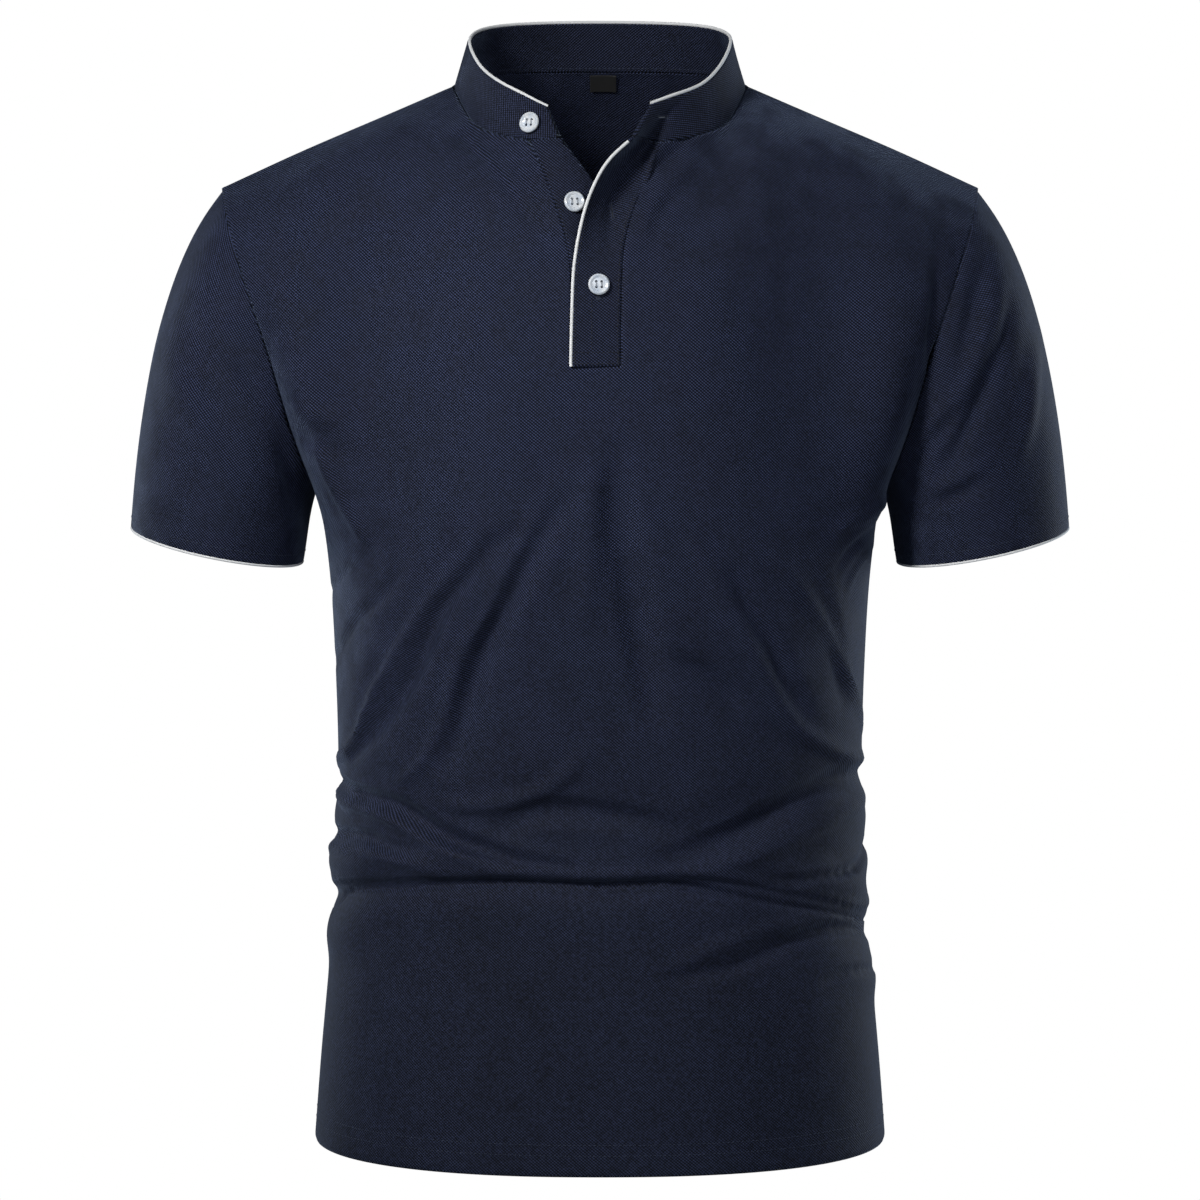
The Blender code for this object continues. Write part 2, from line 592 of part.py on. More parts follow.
def wall(name, outer, inner, colour, closed=False, flip=False, cells=None):
    """A closed wall of cloth between two grids. "cells" says which cells of the grid hold cloth."""
    columns, rows = outer.shape[:2]
    spans = columns if closed else columns - 1
    if cells is None:
        cells = np.ones((spans, rows - 1), bool)
    shell = bmesh.new()
    corners = {}

    def corner(face, column, row):
        key = face, column % columns, row
        if key not in corners:
            corners[key] = shell.verts.new((outer, inner)[face][key[1], row])
        return corners[key]

    def has_cell(column, row):
        if closed:
            column %= columns
        return 0 <= column < spans and 0 <= row < rows - 1 and cells[column, row]

    def quad(places):
        shell.faces.new([corner(*place) for place in (places[::-1] if flip else places)])

    for column in range(spans):
        for row in range(rows - 1):
            if not cells[column, row]:
                continue
            ring = ((column, row), (column + 1, row), (column + 1, row + 1), (column, row + 1))
            quad([(0, *place) for place in ring])
            quad([(1, *place) for place in ring[::-1]])
            beyond = ((column, row - 1), (column + 1, row), (column, row + 1), (column - 1, row))
            for edge, neighbour in enumerate(beyond):
                if not has_cell(*neighbour):
                    a, b = ring[edge], ring[(edge + 1) % 4]
                    quad([(0, *b), (0, *a), (1, *a), (1, *b)])
    mesh = bpy.data.meshes.new(name)
    shell.to_mesh(mesh)
    shell.free()
    mesh.shade_smooth()
    mesh.set_sharp_from_angle(angle=math.radians(60))
    return new_object(name, mesh, colour)


def tube(name, path, radius, sides, colour, closed=False):
    """A round cord of piping along a path."""
    path = np.asarray(path, float)
    ahead = np.roll(path, -1, axis=0) - np.roll(path, 1, axis=0)
    if not closed:
        ahead = np.gradient(path, axis=0)
    ahead = unit(ahead)
    across = np.cross(ahead[0], (0.3, 0.5, 0.8))
    shell = bmesh.new()
    rings = []
    for place, direction in zip(path, ahead):
        across = unit(across - direction * np.dot(across, direction))
        up = np.cross(direction, across)
        turns = [2 * math.pi * k / sides for k in range(sides)]
        rings.append(
            [shell.verts.new(place + radius * (across * math.cos(a) + up * math.sin(a))) for a in turns]
        )
    pairs = list(zip(rings, rings[1:]))
    if closed:
        # The frame comes round turned a little, so the last ring meets the first at its nearest corner.
        first = min(range(sides), key=lambda k: (rings[-1][0].co - rings[0][k].co).length)
        pairs.append((rings[-1], rings[0][first:] + rings[0][:first]))
    for ring, following in pairs:
        for k in range(sides):
            after = (k + 1) % sides
            shell.faces.new([ring[k], ring[after], following[after], following[k]])
    if not closed:
        shell.faces.new(rings[0][::-1])
        shell.faces.new(rings[-1])
    mesh = bpy.data.meshes.new(name)
    shell.to_mesh(mesh)
    shell.free()
    mesh.shade_smooth()
    return new_object(name, mesh, colour, 0.6)


def inset(points, columns, rows, toward_columns, toward_rows):
    """Moves an edge of a grid back by half a seam gap, towards its neighbours inside the grid."""
    edge = points[columns, rows]
    points[columns, rows] = edge + unit(points[toward_columns, toward_rows] - edge) * SEAM_GAP / 2


# --- building ---------------------------------------------------------------------------------------------
NAVY = (0.010, 0.018, 0.055)
WHITE = (0.80, 0.82, 0.85)
PEARL = (0.62, 0.68, 0.80)
BLACK = (0.012, 0.012, 0.014)


def share_normals(*places):
    """Gives the points that pieces share at a seam one direction for their walls."""
    total = sum(normals[index] for normals, index in places)
    for normals, index in places:
        normals[index] = unit(total)


def seam_normals(front, back):
    """One wall direction along the side seams and the shoulder seams."""
    last = front.shape[1] - 1
    for row in range(ARMPIT_ROW + 1):
        share_normals((front, (0, row)), (back, (-1, row)))
        share_normals((front, (-1, row)), (back, (0, row)))
    for column in range(SHOULDER_CELLS + 1):
        share_normals((front, (column, last)), (back, (-1 - column, last)))
        share_normals((front, (-1 - column, last)), (back, (column, last)))


def armhole_normals(front, back, sleeves):
    """One wall direction round the upper armhole. Near the armpit body and sleeve turn away from each other."""
    last = front.shape[1] - 1
    for sleeve, front_column, back_column in zip(sleeves, (0, -1), (-1, 0)):
        share_normals((sleeve, (0, 0)), (front, (front_column, last)), (back, (back_column, last)))
        for step in range(1, last - ARMPIT_ROW):
            for body, place in ((front, (front_column, last - step)), (back, (back_column, last - step))):
                ring_place = (step if body is front else -step, 0)
                if np.dot(body[place], sleeve[ring_place]) > 0.5:
                    share_normals((sleeve, ring_place), (body, place))


def strip_normals(front_normals, column, strip, seam_column):
    """Wall directions of a placket strip; along its seam it shares the front's."""
    normals = grid_normals(strip)
    shared = unit(front_normals[column, FOOT_ROW:] + normals[seam_column, ::2])
    front_normals[column, FOOT_ROW:] = shared
    normals[seam_column] = halved(shared)
    return normals


def neck_normals(neckline_places, band_normals):
    """One wall direction along the neckline for the band and the pieces that it is sewn to."""
    for column, (normals, index) in enumerate(neckline_places):
        share_normals((band_normals, (column, 0)), (normals, index))


def halved(line):
    """A polyline with a point added in the middle of each of its straight pieces."""
    finer = np.repeat(line, 2, axis=0)[:-1]
    finer[1::2] = (line[1:] + line[:-1]) / 2
    return finer


def placket_strip(seam, free_edge, side):
    """A strip from the slot's edge to its own free edge; it runs from the wearer's right to the left."""
    seam = halved(seam)
    free = along(free_edge, np.linspace(0, 1, len(seam)))
    share = np.linspace(0, 1, STRIP_CELLS + 1)[:, None, None]
    gap = unit(free[:, :3] - seam) * SEAM_GAP * 1.7
    strip = (seam + gap)[None] * (1 - share) + free[None, :, :3] * share
    strip[..., 1] += (free[:, 3] * 4 * share[..., 0] * (1 - share[..., 0]))
    return strip if side < 0 else strip[::-1]


def thick(points, normals, cloth):
    return points, points - normals * cloth


def beside(edge, inside, normals, cloth, radius):
    """The middle line of piping that runs along an edge of a wall, just clear of it."""
    ahead = unit(np.gradient(edge, axis=0))
    away = edge - inside
    away = unit(away - ahead * np.sum(away * ahead, axis=1, keepdims=True))
    return edge - normals * cloth / 2 + away * (radius + SEAM_GAP)


def lowered(points, distance, row, toward):
    """One row of a grid moved by a distance towards another row."""
    points[:, row] += unit(points[:, toward] - points[:, row]) * distance


def sample(grid, column, row):
    """A place between the points of a grid."""
    i, j = int(column), int(row)
    u, v = column - i, row - j
    i2, j2 = min(i + 1, len(grid) - 1), min(j + 1, grid.shape[1] - 1)
    return (grid[i, j] * (1 - u) + grid[i2, j] * u) * (1 - v) + (grid[i, j2] * (1 - u) + grid[i2, j2] * u) * v


def button(name, grid, normals, column, row, lift):
    """A four-hole button with a rounded rim and a shallow dish, lying on a grid of cloth."""
    radius, thickness, hole, spacing = 0.00635, 0.0024, 0.0009, 0.0015
    profile = (  # distance from the middle, height
        (radius - 0.0006, 0.0),
        (radius, 0.0009),
        (radius - 0.0003, thickness - 0.0003),
        (radius - 0.0011, thickness),
        (radius - 0.0021, thickness - 0.0006),
    )
    sides = 20
    shell = bmesh.new()
    rings = [
        [
            shell.verts.new((r * math.cos(2 * math.pi * k / sides), r * math.sin(2 * math.pi * k / sides), h))
            for k in range(sides)
        ]
        for r, h in profile
    ]
    for ring, following in zip(rings, rings[1:]):
        for k in range(sides):
            after = (k + 1) % sides
            shell.faces.new([ring[k], ring[after], following[after], following[k]])
    shell.faces.new(rings[0][::-1])
    shell.faces.new(rings[-1])
    mesh = bpy.data.meshes.new(name)
    shell.to_mesh(mesh)
    shell.free()
    piece = new_object(name, mesh, PEARL, 0.25)
    cutters = bmesh.new()
    for across in (-spacing, spacing):
        for up in (-spacing, spacing):
            place = Matrix.Translation((across, up, thickness / 2))
            bmesh.ops.create_cone(
                cutters, cap_ends=True, segments=6, radius1=hole, radius2=hole, depth=thickness * 3, matrix=place
            )
    cutter_mesh = bpy.data.meshes.new(name + "_holes")
    cutters.to_mesh(cutter_mesh)
    cutters.free()
    cutter = bpy.data.objects.new(name + "_holes", cutter_mesh)
    bpy.context.scene.collection.objects.link(cutter)
    cutter.hide_render = True
    cutter.display_type = "WIRE"
    holes = piece.modifiers.new("holes", "BOOLEAN")
    holes.object = cutter
    direction = Vector(sample(normals, column, row))
    place = Vector(sample(grid, column, row)) + direction * lift
    turn = direction.to_track_quat("Z", "Y").to_matrix().to_4x4()
    piece.matrix_world = cutter.matrix_world = Matrix.Translation(place) @ turn
    return piece


def main():
    for old in list(bpy.data.objects):
        bpy.data.objects.remove(old, do_unlink=True)

    # The body, with its folds.
    front, back = front_grid(), back_grid()
    loops = [armhole_loop(front, back, side) for side in (-1, 1)]
    folded = []
    for grid in (front, back):
        normals = grid_normals(grid)
        grid_fade = seam_fade(grid, loops)
        folded.append((grid, normals, body_folds(grid) * grid_fade))
    # Side and shoulder seams fold along one direction, so that front and back stay together.
    seam_normals(folded[0][1], folded[1][1])
    front, back = (grid + normals * lift[..., None] for grid, normals, lift in folded)

    # The sleeves.
    sleeves = [sleeve_grid(loop, side) for loop, side in zip(loops, (-1, 1))]
    front_normals, back_normals = grid_normals(front), grid_normals(back)
    sleeve_normals = []
    for sleeve, side in zip(sleeves, (-1, 1)):
        around = np.roll(sleeve, -1, axis=0) - np.roll(sleeve, 1, axis=0)
        normals = unit(np.cross(around, np.gradient(sleeve, axis=1))) * side
        lift = sleeve_folds(sleeve, side) * seam_fade(sleeve, loops)
        sleeve += normals * lift[..., None]
        around = np.roll(sleeve, -1, axis=0) - np.roll(sleeve, 1, axis=0)
        sleeve_normals.append(unit(np.cross(around, np.gradient(sleeve, axis=1))) * side)
    seam_normals(front_normals, back_normals)
    armhole_normals(front_normals, back_normals, sleeve_normals)

    # The placket and the band start from the panels' own points.
    slot_right, slot_left = FRONT_HALF, FRONT_HALF + 2
    under = placket_strip(front[slot_right, FOOT_ROW:], UNDER_FREE_EDGE, -1)
    over = placket_strip(front[slot_left, FOOT_ROW:], OVER_FREE_EDGE, 1)
    under_normals = strip_normals(front_normals, slot_right, under, 0)
    over_normals = strip_normals(front_normals, slot_left, over, -1)
    # Grid and column of each point of the neckline, from the under placket's free edge round to the over one's.
    round_neck = (
        [(under, under_normals, column) for column in range(STRIP_CELLS, 0, -1)]
        + [(front, front_normals, column) for column in range(slot_right, SHOULDER_CELLS - 1, -1)]
        + [(back, back_normals, column) for column in range(len(back) - 2 - SHOULDER_CELLS, SHOULDER_CELLS, -1)]
        + [(front, front_normals, column) for column in range(len(front) - 1 - SHOULDER_CELLS, slot_left - 1, -1)]
        + [(over, over_normals, column) for column in range(STRIP_CELLS - 1, -1, -1)]
    )
    neckline = np.array([grid[column, -1] for grid, _, column in round_neck])
    lengths = np.concatenate([[0], np.cumsum(np.linalg.norm(np.diff(neckline, axis=0), axis=1))])
    top = along(BAND_TOP, lengths / lengths[-1])
    share = np.linspace(0, 1, BAND_CELLS + 1)[None, :, None]
    band = neckline[:, None] * (1 - share) + top[:, None] * share
    lowered(band, SEAM_GAP * 1.3, 0, 1)
    band_normals = -grid_normals(band)
    neck_normals([(normals, (column, -1)) for _, normals, column in round_neck], band_normals)
    # Where three pieces meet at the neckline, the third takes the same direction.
    under_normals[0, -1] = front_normals[slot_right, -1]
    over_normals[-1, -1] = front_normals[slot_left, -1]
    for column, opposite in ((SHOULDER_CELLS, -1 - SHOULDER_CELLS), (-1 - SHOULDER_CELLS, SHOULDER_CELLS)):
        back_normals[opposite, -1] = front_normals[column, -1]

    # Half a seam gap off each edge that is sewn to a neighbour.
    last = front.shape[1] - 1
    every = np.arange(last + 1)
    for grid in (front, back):
        for side_column, inside in ((0, 1), (-1, -2)):
            inset(grid, side_column, every, inside, every)
    for grid in (front, back):
        columns = np.arange(len(grid))
        inset(grid, columns, last, columns, last - 1)
    for grid in (under, over):
        columns = np.arange(len(grid))
        for end, inside in ((0, 1), (-1, -2)):
            inset(grid, columns, end, columns, inside)
    for sleeve in sleeves:
        columns = np.arange(len(sleeve))
        inset(sleeve, columns, 0, columns, 1)

    cells = np.ones((len(front) - 1, last), bool)
    cells[slot_right:slot_left, FOOT_ROW:] = False
    wall("front", *thick(front, front_normals, CLOTH), NAVY, cells=cells)
    wall("back", *thick(back, back_normals, CLOTH), NAVY)
    for name, sleeve, normals, flip in zip(
        ("sleeve_right", "sleeve_left"), sleeves, sleeve_normals, (True, False)
    ):
        wall(name, *thick(sleeve, normals, CLOTH), NAVY, closed=True, flip=flip)
    wall("collar_band", *thick(band, band_normals, BAND_CLOTH), NAVY, flip=True)
    wall("placket_under", *thick(under, under_normals, CLOTH), NAVY)
    wall("placket_over", *thick(over, over_normals, CLOTH), NAVY)

    # Piping along the band, the over placket's free edge and the cuffs.
    path = beside(band[:, -1], band[:, -2], band_normals[:, -1], BAND_CLOTH, PIPING_RADIUS)
    tube("collar_piping", path, PIPING_RADIUS, 5, WHITE)
    path = beside(over[0], over[1], over_normals[0], CLOTH, PIPING_RADIUS)
    tube("placket_piping", path, PIPING_RADIUS, 5, WHITE)
    for name, sleeve, normals in zip(("cuff_piping_right", "cuff_piping_left"), sleeves, sleeve_normals):
        path = beside(sleeve[:, -1], sleeve[:, -2], normals[:, -1], CLOTH, CUFF_PIPING_RADIUS)
        tube(name, path, CUFF_PIPING_RADIUS, 5, WHITE, closed=True)

    button("button_1", band, band_normals, 4.1, 1.5, 0.0008)
    button("button_2", under, under_normals, 1.9, 10.9, 0.0008)
    button("button_3", over, over_normals, 2.6, 5.35, 0.0008)

    # The neck label hangs from the inside of the back neck seam, a little to the wearer's left.
    down = unit(back[BACK_HALF, last - 1] - back[BACK_HALF, last])
    columns = np.linspace(LABEL_LEFT, LABEL_LEFT - LABEL_WIDTH, 4)
    heights = np.linspace(LABEL_LENGTH, 0.0008, 4)
    edge = back[::-1, last]
    top_edge = np.stack([[np.interp(x, edge[:, 0], edge[:, axis]) for axis in range(3)] for x in columns])
    label = top_edge[:, None] + down * heights[None, :, None]
    label -= grid_normals(label) * (CLOTH + LABEL_CLEARANCE)
    wall("neck_label", label, label - grid_normals(label) * LABEL_CLOTH, BLACK)


main()
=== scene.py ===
"""A navy piqué shirt with a white-piped band collar, filled out as it is worn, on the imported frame.

Metres, +Z up, the front facing -Y and the wearer's left at +X. Each piece of cloth starts from the outer
face of its own solid, is laid flat once for its grain, refined, and given its folds and its thickness.
Stitches, piping, buttons and the label follow the finished cloth.
"""

import math

import bmesh
import bpy
import numpy as np
from mathutils import Matrix, Vector
from mathutils.bvhtree import BVHTree


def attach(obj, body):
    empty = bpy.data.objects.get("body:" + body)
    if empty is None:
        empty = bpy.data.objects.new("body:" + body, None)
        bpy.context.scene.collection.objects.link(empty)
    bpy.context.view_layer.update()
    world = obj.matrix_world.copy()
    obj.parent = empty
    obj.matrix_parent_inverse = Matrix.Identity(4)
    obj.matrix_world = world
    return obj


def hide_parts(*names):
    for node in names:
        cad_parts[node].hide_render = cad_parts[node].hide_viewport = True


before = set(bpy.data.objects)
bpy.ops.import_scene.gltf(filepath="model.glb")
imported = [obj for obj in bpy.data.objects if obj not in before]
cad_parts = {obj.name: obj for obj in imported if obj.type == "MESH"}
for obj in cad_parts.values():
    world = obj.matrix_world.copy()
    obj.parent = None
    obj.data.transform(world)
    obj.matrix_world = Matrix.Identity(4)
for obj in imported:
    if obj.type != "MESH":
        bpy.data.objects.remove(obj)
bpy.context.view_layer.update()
ROOT = "root"

# --- sizes --------------------------------------------------------------------------------------------
TURN = 2 * math.pi
KNIT = 0.0012  # thickness of the knit as it shows at an edge
BAND = 0.0022  # the collar band, two layers of it
SOLID_WALL = {"collar_band": 0.0022}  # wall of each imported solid, where it isn't the plain one
PLAIN_WALL = 0.0015
SAME_POINT = 2e-6  # corners closer than this are one
RIM_TOLERANCE = 0.00012  # how far a wall's edge may be off its length
SLEEVE_MIDDLE, ARMPIT_HEIGHT = 0.225, -0.247  # out from the middle of the body, and up
WAIST_LOW, WAIST_HIGH = -0.560, -0.400  # heights between which the creases are finest
UPRIGHT = 0.75  # the least rise of an upright edge, as a share of its length
BORDER = 0.0010  # how much of the cloth's edge a seam turns in
CORNER = -0.5  # cosine between the two edges of a corner
SEAM_SINK, SEAM_REACH = 0.0006, 0.00045  # how deep, and how far out over the gap beside it
EDGES, SURFACES = {}, {}  # each cloth piece's edge, and its outer face to lay stitches on
SEWN = {}  # what is sewn to each cloth piece


# --- materials ----------------------------------------------------------------------------------------
class Field:
    """A number that varies over a surface: arithmetic on it adds the shader's own maths."""

    def __init__(self, finish, socket):
        self.finish, self.socket = finish, socket

    def _maths(self, operation, *others):
        return self.finish.value("ShaderNodeMath", {"operation": operation}, self, *others)

    def __add__(self, other):
        return self._maths("ADD", other)

    def __sub__(self, other):
        return self._maths("SUBTRACT", other)

    def __rsub__(self, other):
        return self.finish.value("ShaderNodeMath", {"operation": "SUBTRACT"}, other, self)

    def __mul__(self, other):
        return self._maths("MULTIPLY", other)

    def __truediv__(self, other):
        return self._maths("DIVIDE", other)

    def __rtruediv__(self, other):
        return self.finish.value("ShaderNodeMath", {"operation": "DIVIDE"}, other, self)

    __radd__ = __add__
    __rmul__ = __mul__

    def sine(self):
        return self._maths("SINE")

    def ramp(self, low, high, bottom=0.0, top=1.0):
        """Clamped straight ramp from bottom at low to top at high."""
        return self.finish.value("ShaderNodeMapRange", {"clamp": True}, self, low, high, bottom, top)


class Finish:
    """A material with one Principled shader, and a method that makes any other node of it."""

    def __init__(self, name, **shader):
        self.material = bpy.data.materials.new(name)
        self.material.use_nodes = True
        self.tree = self.material.node_tree
        self.shader = self.tree.nodes["Principled BSDF"]
        for socket, setting in shader.items():
            self.shader.inputs[socket.replace("_", " ")].default_value = setting

    def node(self, kind, settings=None, inputs=None):
        node = self.tree.nodes.new(kind)
        for name, setting in (settings or {}).items():
            setattr(node, name, setting)
        for key, given in (inputs or {}).items():
            if isinstance(given, Field):
                given = given.socket
            if isinstance(given, bpy.types.NodeSocket):
                self.tree.links.new(given, node.inputs[key])
            else:
                node.inputs[key].default_value = given
        return node

    def value(self, kind, settings, *inputs):
        return Field(self, self.node(kind, settings, dict(enumerate(inputs))).outputs[0])

    def parts(self, vector):
        node = self.node("ShaderNodeSeparateXYZ", None, {0: vector})
        return [Field(self, output) for output in node.outputs]

    def grain(self):
        """Metres across and along the cloth, from the piece's own flat layout."""
        return self.parts(self.node("ShaderNodeUVMap", {"uv_map": "grain"}).outputs[0])[:2]

    def place(self):
        return self.node("ShaderNodeTexCoord").outputs["Object"]

    def height(self):
        """Metres up from the origin."""
        return self.parts(self.place())[2]

    def noise(self, scale, detail=2.0, roughness=0.5):
        inputs = {"Vector": self.place(), "Scale": scale, "Detail": detail, "Roughness": roughness}
        return Field(self, self.node("ShaderNodeTexNoise", None, inputs).outputs[0])

    def mixed(self, factor, first, second):
        """The colour between two colours."""
        node = self.node("ShaderNodeMix", {"data_type": "RGBA"}, {"Factor": factor, 6: first, 7: second})
        return node.outputs[2]

    def feed(self, socket, given):
        if isinstance(given, Field):
            given = given.socket
        self.tree.links.new(given, self.shader.inputs[socket])

    def bump(self, height, strength, distance):
        inputs = {"Strength": strength, "Distance": distance, "Height": height}
        self.feed("Normal", self.node("ShaderNodeBump", None, inputs).outputs[0])


def rgba(red, green, blue):
    return (red, green, blue, 1.0)


def shaded(colour, tone):
    """The colour at this share of its brightness."""
    return rgba(*(part * tone for part in colour[:3]))


SHEEN_TINT = rgba(0.50, 0.66, 1.0)
# The knit's two colours: the dark one is painted shade in the hollows between its raised dots, the light
# one the tops of the dots.
NAVY_HOLLOW_SHADE = rgba(0.0012, 0.0024, 0.0070)
NAVY_DOT_TOPS = rgba(0.0650, 0.0860, 0.1950)
PIQUE_ACROSS, PIQUE_ALONG = 0.0021, 0.0018  # one cell of the knit
LOOSENING = 2.6  # how far the rows of the knit wander
PAINTED_LIGHT_LOW, PAINTED_LIGHT_HIGH = -0.50, -0.24  # heights between which the dots get stronger and lighter: painted light over the chest
RIB = 0.0007  # from rib to rib of the label tape


# A tone below one makes a copy of the knit in painted shade.
def navy_pique(name, tone=1.0):
    """Fine piqué: raised dots in rows that fall to the wearer's left, with painted shade in the hollows and
    painted light towards the chest.
    """
    finish = Finish(
        name, Specular_IOR_Level=0.22, Sheen_Weight=0.16, Sheen_Roughness=0.30, Sheen_Tint=SHEEN_TINT
    )
    across, along = finish.grain()
    wander = (finish.noise(220.0) - 0.5) * LOOSENING
    falling = ((across / PIQUE_ACROSS + along / PIQUE_ALONG) * TURN + wander).sine()
    rising = ((across / PIQUE_ACROSS - along / PIQUE_ALONG) * TURN + wander).sine()
    # Painted light: the dots' contrast, and with it their brightness, grows upward towards the chest, and
    # varies at random besides.
    painted_light_by_height = finish.height().ramp(PAINTED_LIGHT_LOW, PAINTED_LIGHT_HIGH, 0.45, 1.0)
    painted_light_and_random_contrast = painted_light_by_height * finish.noise(55.0).ramp(0.35, 0.65, 0.60, 1.15)
    dots = (falling * 0.64 + rising * 0.36) * 0.5 * painted_light_and_random_contrast + 0.5
    patches = finish.noise(9.0, 3.0, 0.6)
    grain = finish.noise(420.0, 3.0, 0.75)
    shade = dots * 1.60 + patches.ramp(0.3, 0.7) * 0.08 + grain.ramp(0.32, 0.68) * 0.26 - 0.84
    # The knit's own dot pattern, with painted shade at its dark end, in the hollows.
    finish.feed("Base Color", finish.mixed(shade, shaded(NAVY_HOLLOW_SHADE, tone), shaded(NAVY_DOT_TOPS, tone)))
    finish.feed("Roughness", dots * -0.10 + 0.80)
    finish.bump(dots + grain * 0.4, 1.0, 0.0005)
    return finish.material


def sewing_thread(name, colour):
    """Twisted thread, a little brighter than the cloth it is sewn through."""
    finish = Finish(name, Roughness=0.62, Sheen_Weight=0.04, Sheen_Tint=SHEEN_TINT)
    twist = finish.noise(2600.0, 1.0)
    finish.feed("Base Color", finish.mixed(twist.ramp(0.3, 0.7), shaded(colour, 0.55), colour))
    finish.bump(twist, 0.6, 0.0001)
    return finish.material


def white_braid():
    """Woven white tape rolled round a cord."""
    finish = Finish("white_braid", Roughness=0.75, Sheen_Weight=0.20, Sheen_Roughness=0.5)
    fine = finish.noise(2200.0)
    grey = finish.noise(60.0)
    shade = fine.ramp(0.3, 0.7) * 0.6 + grey.ramp(0.3, 0.7) * 0.4
    finish.feed("Base Color", finish.mixed(shade, rgba(0.80, 0.82, 0.85), rgba(0.94, 0.95, 0.96)))
    finish.bump(fine, 0.5, 0.00012)
    return finish.material


def pearly_resin():
    """Cast button resin: pale, slightly blue, with soft clouds."""
    finish = Finish("button_resin", Coat_Weight=0.5, Coat_Roughness=0.08)
    clouds = finish.noise(260.0, 3.0, 0.6).ramp(0.35, 0.65)
    scratches = finish.noise(3200.0, 2.0, 0.6)
    finish.feed("Base Color", finish.mixed(clouds, rgba(0.58, 0.66, 0.78), rgba(0.80, 0.83, 0.87)))
    finish.feed("Roughness", scratches.ramp(0.3, 0.7, 0.16, 0.30))
    return finish.material


def woven_tape():
    """Black satin label tape with fine ribs across it."""
    finish = Finish("label_tape", Roughness=0.50, Sheen_Weight=0.1)
    ribs = (finish.height() * (TURN / RIB)).sine() * 0.5 + 0.5
    fine = finish.noise(1800.0)
    shade = fine * 0.5 + ribs * 0.4
    finish.feed("Base Color", finish.mixed(shade, rgba(0.006, 0.006, 0.007), rgba(0.022, 0.022, 0.022)))
    finish.bump(ribs + fine * 0.4, 0.5, 0.0001)
    return finish.material


# --- cloth --------------------------------------------------------------------------------------------
def diagonals(bm):
    """The slanting edges of a triangulated grid. Each triangle has its directions in the same turn."""
    direction = {}
    waiting = [(next(iter(bm.faces)).loops[0], 0)]
    while waiting:
        loop, number = waiting.pop()
        for step in range(3):
            if loop.edge not in direction:
                direction[loop.edge] = (number + step) % 3
                beyond = [other for other in loop.link_loops if other is not loop]
                waiting += [(other, direction[loop.edge]) for other in beyond]
            loop = loop.link_loop_next
    sorted_out = [[edge for edge in direction if direction[edge] == number] for number in range(3)]
    inside = [edges for edges in sorted_out if not any(edge.is_boundary for edge in edges)]
    return max(inside, key=lambda edges: sum(edge.calc_length() for edge in edges))


def islands(bm):
    """The faces of each connected stretch."""
    found, seen = [], set()
    for start in bm.faces:
        if start in seen:
            continue
        island, reach = [], [start]
        seen.add(start)
        while reach:
            face = reach.pop()
            island.append(face)
            for edge in face.edges:
                for other in edge.link_faces:
                    if other not in seen:
                        seen.add(other)
                        reach.append(other)
        found.append(island)
    return found


def outer_face(name, core=(0.0, 0.0)):
    """The outer face of a cloth solid, in four-sided faces. It faces away from the core."""
    bm = bmesh.new()
    bm.from_mesh(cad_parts[name].data)
    bmesh.ops.remove_doubles(bm, verts=bm.verts, dist=SAME_POINT)
    wall = SOLID_WALL.get(name, PLAIN_WALL)
    rim = [
        face for face in bm.faces
        if any(abs(edge.calc_length() - wall) < RIM_TOLERANCE for edge in face.edges)
    ]
    bmesh.ops.delete(bm, geom=rim, context="FACES")

    def facing(island):
        total = 0.0
        for face in island:
            middle = face.calc_center_median()
            total += face.calc_area() * face.normal.dot(middle - Vector((*core, middle.z)))
        return total

    inner = min(islands(bm), key=facing)
    bmesh.ops.delete(bm, geom=inner, context="FACES")
    bmesh.ops.dissolve_edges(bm, edges=diagonals(bm), use_verts=False)
    return bm


def mesh_of(name, bm):
    mesh = bpy.data.meshes.new(name)
    bm.to_mesh(mesh)
    bm.free()
    return mesh


def worked_out(piece):
    """A plain mesh of the piece, with its modifiers carried out."""
    graph = bpy.context.evaluated_depsgraph_get()
    return bpy.data.meshes.new_from_object(piece.evaluated_get(graph), depsgraph=graph)


def shown_object(name, mesh, material):
    piece = bpy.data.objects.new(name, mesh)
    bpy.context.scene.collection.objects.link(piece)
    mesh.materials.append(material)
    return piece


def laid_flat(piece, slit=()):
    """Gives the piece its grain: metres across and along the cloth, hem level. The slit opens a tube."""
    mesh = piece.data
    mesh.uv_layers.new(name="grain")
    for number in slit:
        mesh.edges[number].use_seam = True
    bpy.ops.object.select_all(action="DESELECT")
    bpy.context.view_layer.objects.active = piece
    piece.select_set(True)
    bpy.ops.object.mode_set(mode="EDIT")
    bpy.ops.mesh.select_all(action="SELECT")
    bpy.ops.uv.unwrap(method="ANGLE_BASED", margin=0.0)
    bpy.ops.object.mode_set(mode="OBJECT")
    loops = np.array([loop.vertex_index for loop in mesh.loops])
    places = np.array([vertex.co for vertex in mesh.vertices])[loops]
    flat = np.array([corner.uv for corner in mesh.uv_layers["grain"].data])
    cloth_area = sum(face.area for face in mesh.polygons)
    flat_area = 0.0
    for face in mesh.polygons:
        corners = flat[face.loop_indices]
        after = np.roll(corners, -1, axis=0)
        flat_area += abs(np.sum(corners[:, 0] * after[:, 1] - corners[:, 1] * after[:, 0])) / 2
    slope = np.linalg.lstsq(np.c_[flat, np.ones(len(flat))], places[:, 2], rcond=None)[0][:2]
    upward = slope / np.linalg.norm(slope)
    turned = np.c_[flat @ (upward[1], -upward[0]), flat @ upward] * math.sqrt(cloth_area / flat_area)
    turned -= turned.mean(axis=0)
    mesh.uv_layers["grain"].data.foreach_set("uv", turned.astype(np.float32).ravel())


